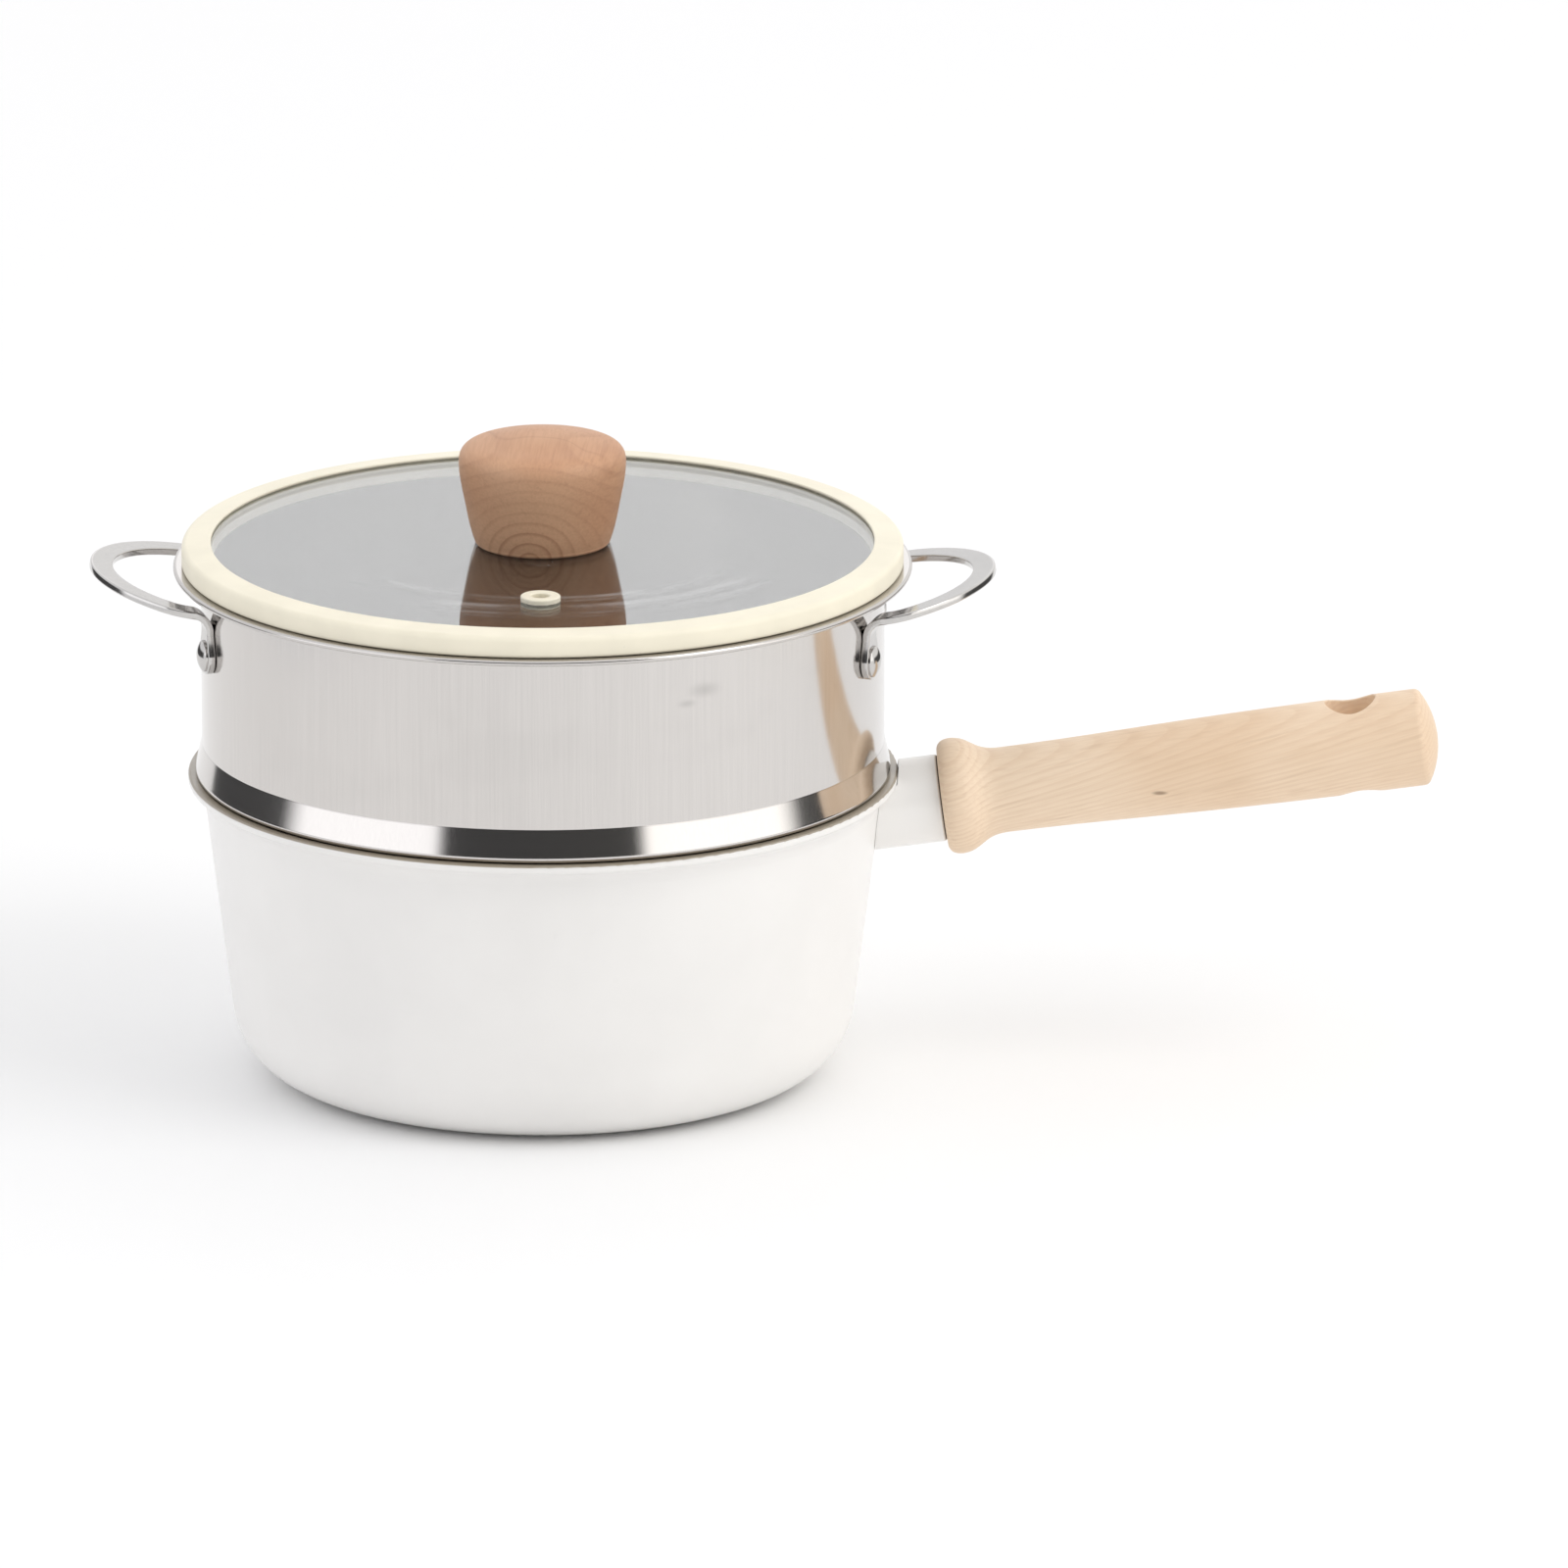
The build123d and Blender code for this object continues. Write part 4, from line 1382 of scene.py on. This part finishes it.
@dataclass
class UpperPot(Assembly):
    """The steel pot that stands on the pan, with its strap loops and rivets."""

    sheet_gauge: float = 0.8 * MM
    floor_height: float = 72.0 * MM
    floor_ring_radius: float = 57.786 * MM
    floor_ring_height: float = 1.2 * MM
    spigot_radius: float = 88.786 * MM
    seat_radius: float = 94.8 * MM
    seat_height: float = 84.15 * MM
    flange_radius: float = 100.3 * MM
    curl_radius: float = 0.8 * MM
    curl_steps: int = 24
    ring_bend: float = 2.0 * MM
    floor_bend: float = 6.0 * MM
    spigot_bend: float = 1.4 * MM
    seat_bend: float = 0.9 * MM
    seam_bend: float = 1.0 * MM
    rim_bend: float = 1.6 * MM
    turn: float = math.radians(-1.8)
    # darker soft patches on the front of the wall, each a centre and a reach
    dark_patches: tuple[tuple[Vector, float], ...] = (
        (Vector((44.2, -81.6, 129.3)) * MM, 7.0 * MM),
        (Vector((39.5, -84.0, 126.0)) * MM, 4.0 * MM),
    )
    loop: StrapLoop = field(default_factory=StrapLoop)
    rivets: RivetNodes = field(default_factory=RivetNodes)

    def build(self) -> None:
        """Dress the pot and make its loops and rivets."""
        sheet = turned(self.sheet_outline(), closed=False)
        steel = PotSteel("pot_steel", dark_patches=self.dark_patches)
        self.mesh_piece("upper_pot_sheet", sheet, steel, Body.POT, "upper_pot")
        seats = []
        for side, turn in (("left", self.turn + math.pi), ("right", self.turn)):
            strap = self.loop.mesh(turn)
            self.mesh_piece(f"{side}_loop_strap", strap, POLISHED_STEEL, Body.POT, f"{side}_loop_handle")
            seats += self.loop.rivet_seats(turn)
        piece = placed("loop_rivets", self.rivets.mesh("loop_rivets", seats, POLISHED_STEEL.material()))
        self.attach(piece, Body.POT, POLISHED_STEEL.name, "left_loop_rivets", "right_loop_rivets")

    def sheet_outline(self) -> list[Vector]:
        """Draw both faces of the pot's sheet.

        Returns:
            Points from the axis over the curled flange and back.
        """
        half = self.sheet_gauge / 2
        floor = self.floor_height + half
        ring_floor = floor + self.floor_ring_height
        spigot = self.spigot_radius - half
        seat = self.seat_height + half
        wall = WALL_RADIUS - half
        flange = RIM_HEIGHT - half
        curl = Vector((self.flange_radius - self.curl_radius, RIM_HEIGHT - self.curl_radius))
        middle = Outline((
            (0.0, ring_floor, 0.0),
            (self.floor_ring_radius, ring_floor, self.ring_bend),
            (self.floor_ring_radius + self.floor_ring_height, floor, self.ring_bend),
            (spigot, floor, self.floor_bend),
            (spigot, seat, self.spigot_bend),
            (self.seat_radius - half, seat, self.seat_bend),
            (wall, SEAM_HEIGHT, self.seam_bend),
            (wall, flange, self.rim_bend),
            (curl.x, flange, 0.0),
        ), closed=False)
        outside = [spot for spot in middle.beside(-half) if spot.x < curl.x - self.curl_radius]
        rounded = []
        for step in range(self.curl_steps + 1):
            angle = math.pi / 2 - 1.5 * math.pi * step / self.curl_steps
            rounded.append(curl + Vector((math.cos(angle), math.sin(angle))) * self.curl_radius)
        return middle.beside(half) + rounded + outside[::-1]


@dataclass
class GlassLid(Assembly):
    """The glass lid with its soft rim, its wooden knob and its steam vent."""

    glass_top: float = 148.0 * MM
    glass_bottom: float = 144.0 * MM
    glass_radius: float = 93.6 * MM
    grip_gap: float = 0.05 * MM
    rim_inner: float = 90.0 * MM
    rim_outer: float = 98.0 * MM
    rim_top: float = 148.9 * MM
    rim_foot: float = 142.45 * MM
    shoulder_drop: float = 0.7 * MM
    skirt_outer: float = 91.2 * MM
    skirt_inner: float = 89.4 * MM
    skirt_bottom: float = 140.1 * MM
    groove_bend: float = 0.8 * MM
    small_bend: float = 0.4 * MM
    foot_bend: float = 0.9 * MM
    shoulder_bend: float = 1.6 * MM
    knob_heart_aside: float = -1.0 * MM
    knob_heart_rise: float = 1.0 * MM
    knob_grain: Vector = field(default_factory=lambda: Vector((0.10, 1.0, 0.12)))
    knob_vein_rise: float = 16.0 * MM

    def build(self) -> None:
        """Dress the lid."""
        screw = WorkedMetal("screw_steel", roughness=0.2)
        rim = turned([point for point, _ in self.rim_outline().samples()], closed=True)
        self.dress("lid_glass", ClearGlass("lid_glass_clear"))
        self.mesh_piece("lid_rim", rim, CREAM, Body.LID, "lid_rim_seal")
        self.dress("lid_knob", self.knob_wood())
        self.dress("knob_thread_insert", WorkedMetal("knob_insert_brass", colour=BRASS, roughness=0.2))
        self.dress("knob_screw", screw)
        self.dress("knob_washer", screw)
        self.dress("knob_cushion", SoftRubber("clear_silicone", colour=from_screen(222, 222, 216)))
        self.dress("vent_grommet", SoftRubber("vent_silicone"))

    def rim_outline(self) -> Outline:
        """Draw the cross-section of the soft rim.

        Returns:
            The outline of its groove for the glass, its skirt, its foot and its shoulder.
        """
        groove = self.glass_radius + self.grip_gap
        groove_top = self.glass_top + self.grip_gap
        groove_bottom = self.glass_bottom - self.grip_gap
        return Outline((
            (self.rim_inner, groove_top, 0.0),
            (groove, groove_top, self.groove_bend),
            (groove, groove_bottom, self.groove_bend),
            (self.skirt_inner, groove_bottom, self.small_bend),
            (self.skirt_inner, self.skirt_bottom, self.small_bend),
            (self.skirt_outer, self.skirt_bottom, self.small_bend),
            (self.skirt_outer, self.rim_foot, self.small_bend),
            (self.rim_outer, self.rim_foot, self.foot_bend),
            (self.rim_outer, self.rim_top - self.shoulder_drop, self.shoulder_bend),
            (self.rim_inner, self.rim_top, self.small_bend),
        ))

    def knob_wood(self) -> TurnedWood:
        """Choose the knob's wood: reddish, with arched rings low on the front.

        Returns:
            The finish.
        """
        return TurnedWood(
            "knob_wood",
            pale=from_screen(217, 174, 139),
            warm=from_screen(199, 149, 114),
            line=from_screen(152, 100, 74),
            heart=Vector((self.knob_heart_aside, 0.0, self.glass_top + self.knob_heart_rise)),
            grain=self.knob_grain,
            ring_width=3.1 * MM,
            line_start=0.55,
            line_strength=0.6,
            far_strength=0.16,
            fade_radius=7.0 * MM,
            wobble=2.6 * MM,
            wobble_scale=24.0,
            fleck_strength=0.12,
            vein_strength=0.14,
            vein_bottom=self.glass_top + self.knob_vein_rise,
        )


@dataclass
class Studio:
    """The floor, the soft light and the camera.

    The light comes from all round. A field that names an edge of one of its areas is a pair of
    numbers, the sines of the directions between which that edge fades. Heights are two such pairs.
    """

    aim: Vector = field(default_factory=lambda: Vector((65.5, 0.0, 79.7)) * MM)
    distance: float = 6.5
    elevation: float = math.radians(15.9)
    field_width: float = 426.7 * MM
    sensor_width: float = 36.0
    view_end: float = 100.0
    sheet_half_width: float = 0.55
    sheet_near: float = -1.6
    sheet_far: float = 2.4
    sheet_drop: float = 0.2 * MM
    lamp_place: Vector = field(default_factory=lambda: Vector((1.5, -0.9, 1.7)))
    lamp_size: float = 1.2
    lamp_power: float = 9.0
    glow: float = 0.95
    front_edge: Pair = (-0.12, 0.02)
    card_sides: Pair = (0.5, 0.58)
    card_heights: tuple[Pair, Pair] = ((0.0, 0.04), (0.42, 0.62))
    card_shade: float = 0.93
    back_edge: Pair = (-0.04, 0.1)
    back_sides: Pair = (0.42, 0.6)
    back_heights: tuple[Pair, Pair] = ((-0.24, -0.18), (0.03, 0.1))
    back_shade: float = 0.92
    box_sides: Pair = (0.52, 0.6)
    box_foot: Pair = (-0.05, 0.0)
    box_top: Pair = (0.12, 0.5)
    box_glow: float = 0.62
    box_top_loss: float = 0.42
    behind_edge: Pair = (0.2, 0.5)
    behind_sides: Pair = (0.04, 0.09)
    behind_heights: tuple[Pair, Pair] = ((0.14, 0.2), (0.4, 0.6))
    behind_glow: float = 0.42
    right_edge: Pair = (-0.2, 0.8)
    right_glow: float = 0.14
    tint_edge: Pair = (-0.7, 0.7)
    left_tint: Colour = (0.985, 0.99, 1.015)
    right_tint: Colour = (1.01, 1.0, 0.985)

    def build(self) -> None:
        """Make the floor, the light and the camera."""
        self.add_floor()
        self.add_world()
        self.add_lamp()
        self.add_camera()

    def add_floor(self) -> None:
        """Lay a plain pale floor under the object."""
        mesh = bpy.data.meshes.new("floor")
        half = self.sheet_half_width
        near, far = self.sheet_near, self.sheet_far
        corners = [(-half, near), (half, near), (half, far), (-half, far)]
        mesh.from_pydata([(x, y, -self.sheet_drop) for x, y in corners], [], [[0, 1, 2, 3]])
        mesh.materials.append(Paper("floor_paper").material())
        placed("floor", mesh)

    def add_world(self) -> None:
        """Light the scene: white, with dark cards near the camera and far at the sides."""
        world = bpy.data.worlds.new("studio")
        bpy.context.scene.world = world
        world.use_nodes = True
        sheet = NodeSheet(world.node_tree)
        x, y, z = sheet.split(sheet.add("ShaderNodeTexCoord").outputs["Generated"])
        aside = x.size()
        front = sheet.step(y, *self.front_edge, start=1.0, end=0.0)
        card = front * sheet.step(aside, *self.card_sides, start=1.0, end=0.0)
        card = card * sheet.band(z, *self.card_heights)
        back = sheet.step(y, *self.back_edge) * sheet.step(aside, *self.back_sides)
        back = back * sheet.band(z, *self.back_heights)
        boxes = front * sheet.step(aside, *self.box_sides) * sheet.step(z, *self.box_foot)
        boxes = boxes * (self.box_glow - sheet.step(z, *self.box_top) * self.box_top_loss)
        behind = sheet.step(y, *self.behind_edge) * sheet.step(aside, *self.behind_sides, start=1.0, end=0.0)
        behind = behind * sheet.band(z, *self.behind_heights) * self.behind_glow
        glow = self.glow + boxes + sheet.step(x, *self.right_edge) * self.right_glow + behind
        glow = glow * (1 - card * self.card_shade) * (1 - back * self.back_shade)
        tint = sheet.mix(sheet.step(x, *self.tint_edge), self.left_tint, self.right_tint)
        light = sheet.add("ShaderNodeBackground", values={"Color": tint, "Strength": glow})
        sheet.feed(sheet.add("ShaderNodeOutputWorld").inputs["Surface"], light.outputs[0])

    def add_lamp(self) -> None:
        """Hang one large soft lamp that points at the object."""
        lamp = bpy.data.lights.new("key", "AREA")
        lamp.size = self.lamp_size
        lamp.energy = self.lamp_power
        hung = placed("key", lamp)
        hung.location = self.lamp_place
        hung.rotation_euler = (self.aim - self.lamp_place).to_track_quat("-Z", "Y").to_euler()

    def add_camera(self) -> None:
        """Set the camera where the photographer stood."""
        camera = bpy.data.cameras.new("camera")
        camera.sensor_width = self.sensor_width
        camera.lens = self.sensor_width * self.distance / self.field_width
        camera.clip_end = self.view_end
        stand = placed("camera", camera)
        back = Vector((0.0, -math.cos(self.elevation), math.sin(self.elevation)))
        stand.location = self.aim + back * self.distance
        stand.rotation_euler = (-back).to_track_quat("-Z", "Y").to_euler()
        bpy.context.scene.camera = stand


def main() -> None:
    """Load the frame, dress each sub-assembly and light it."""
    logging.basicConfig(level=logging.INFO, format="%(message)s")
    bpy.context.scene.view_settings.view_transform = "Standard"
    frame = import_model()
    for assembly in (Saucepan(frame), UpperPot(frame), GlassLid(frame)):
        assembly.build()
    Studio().build()


if __name__ == "__main__":
    main()
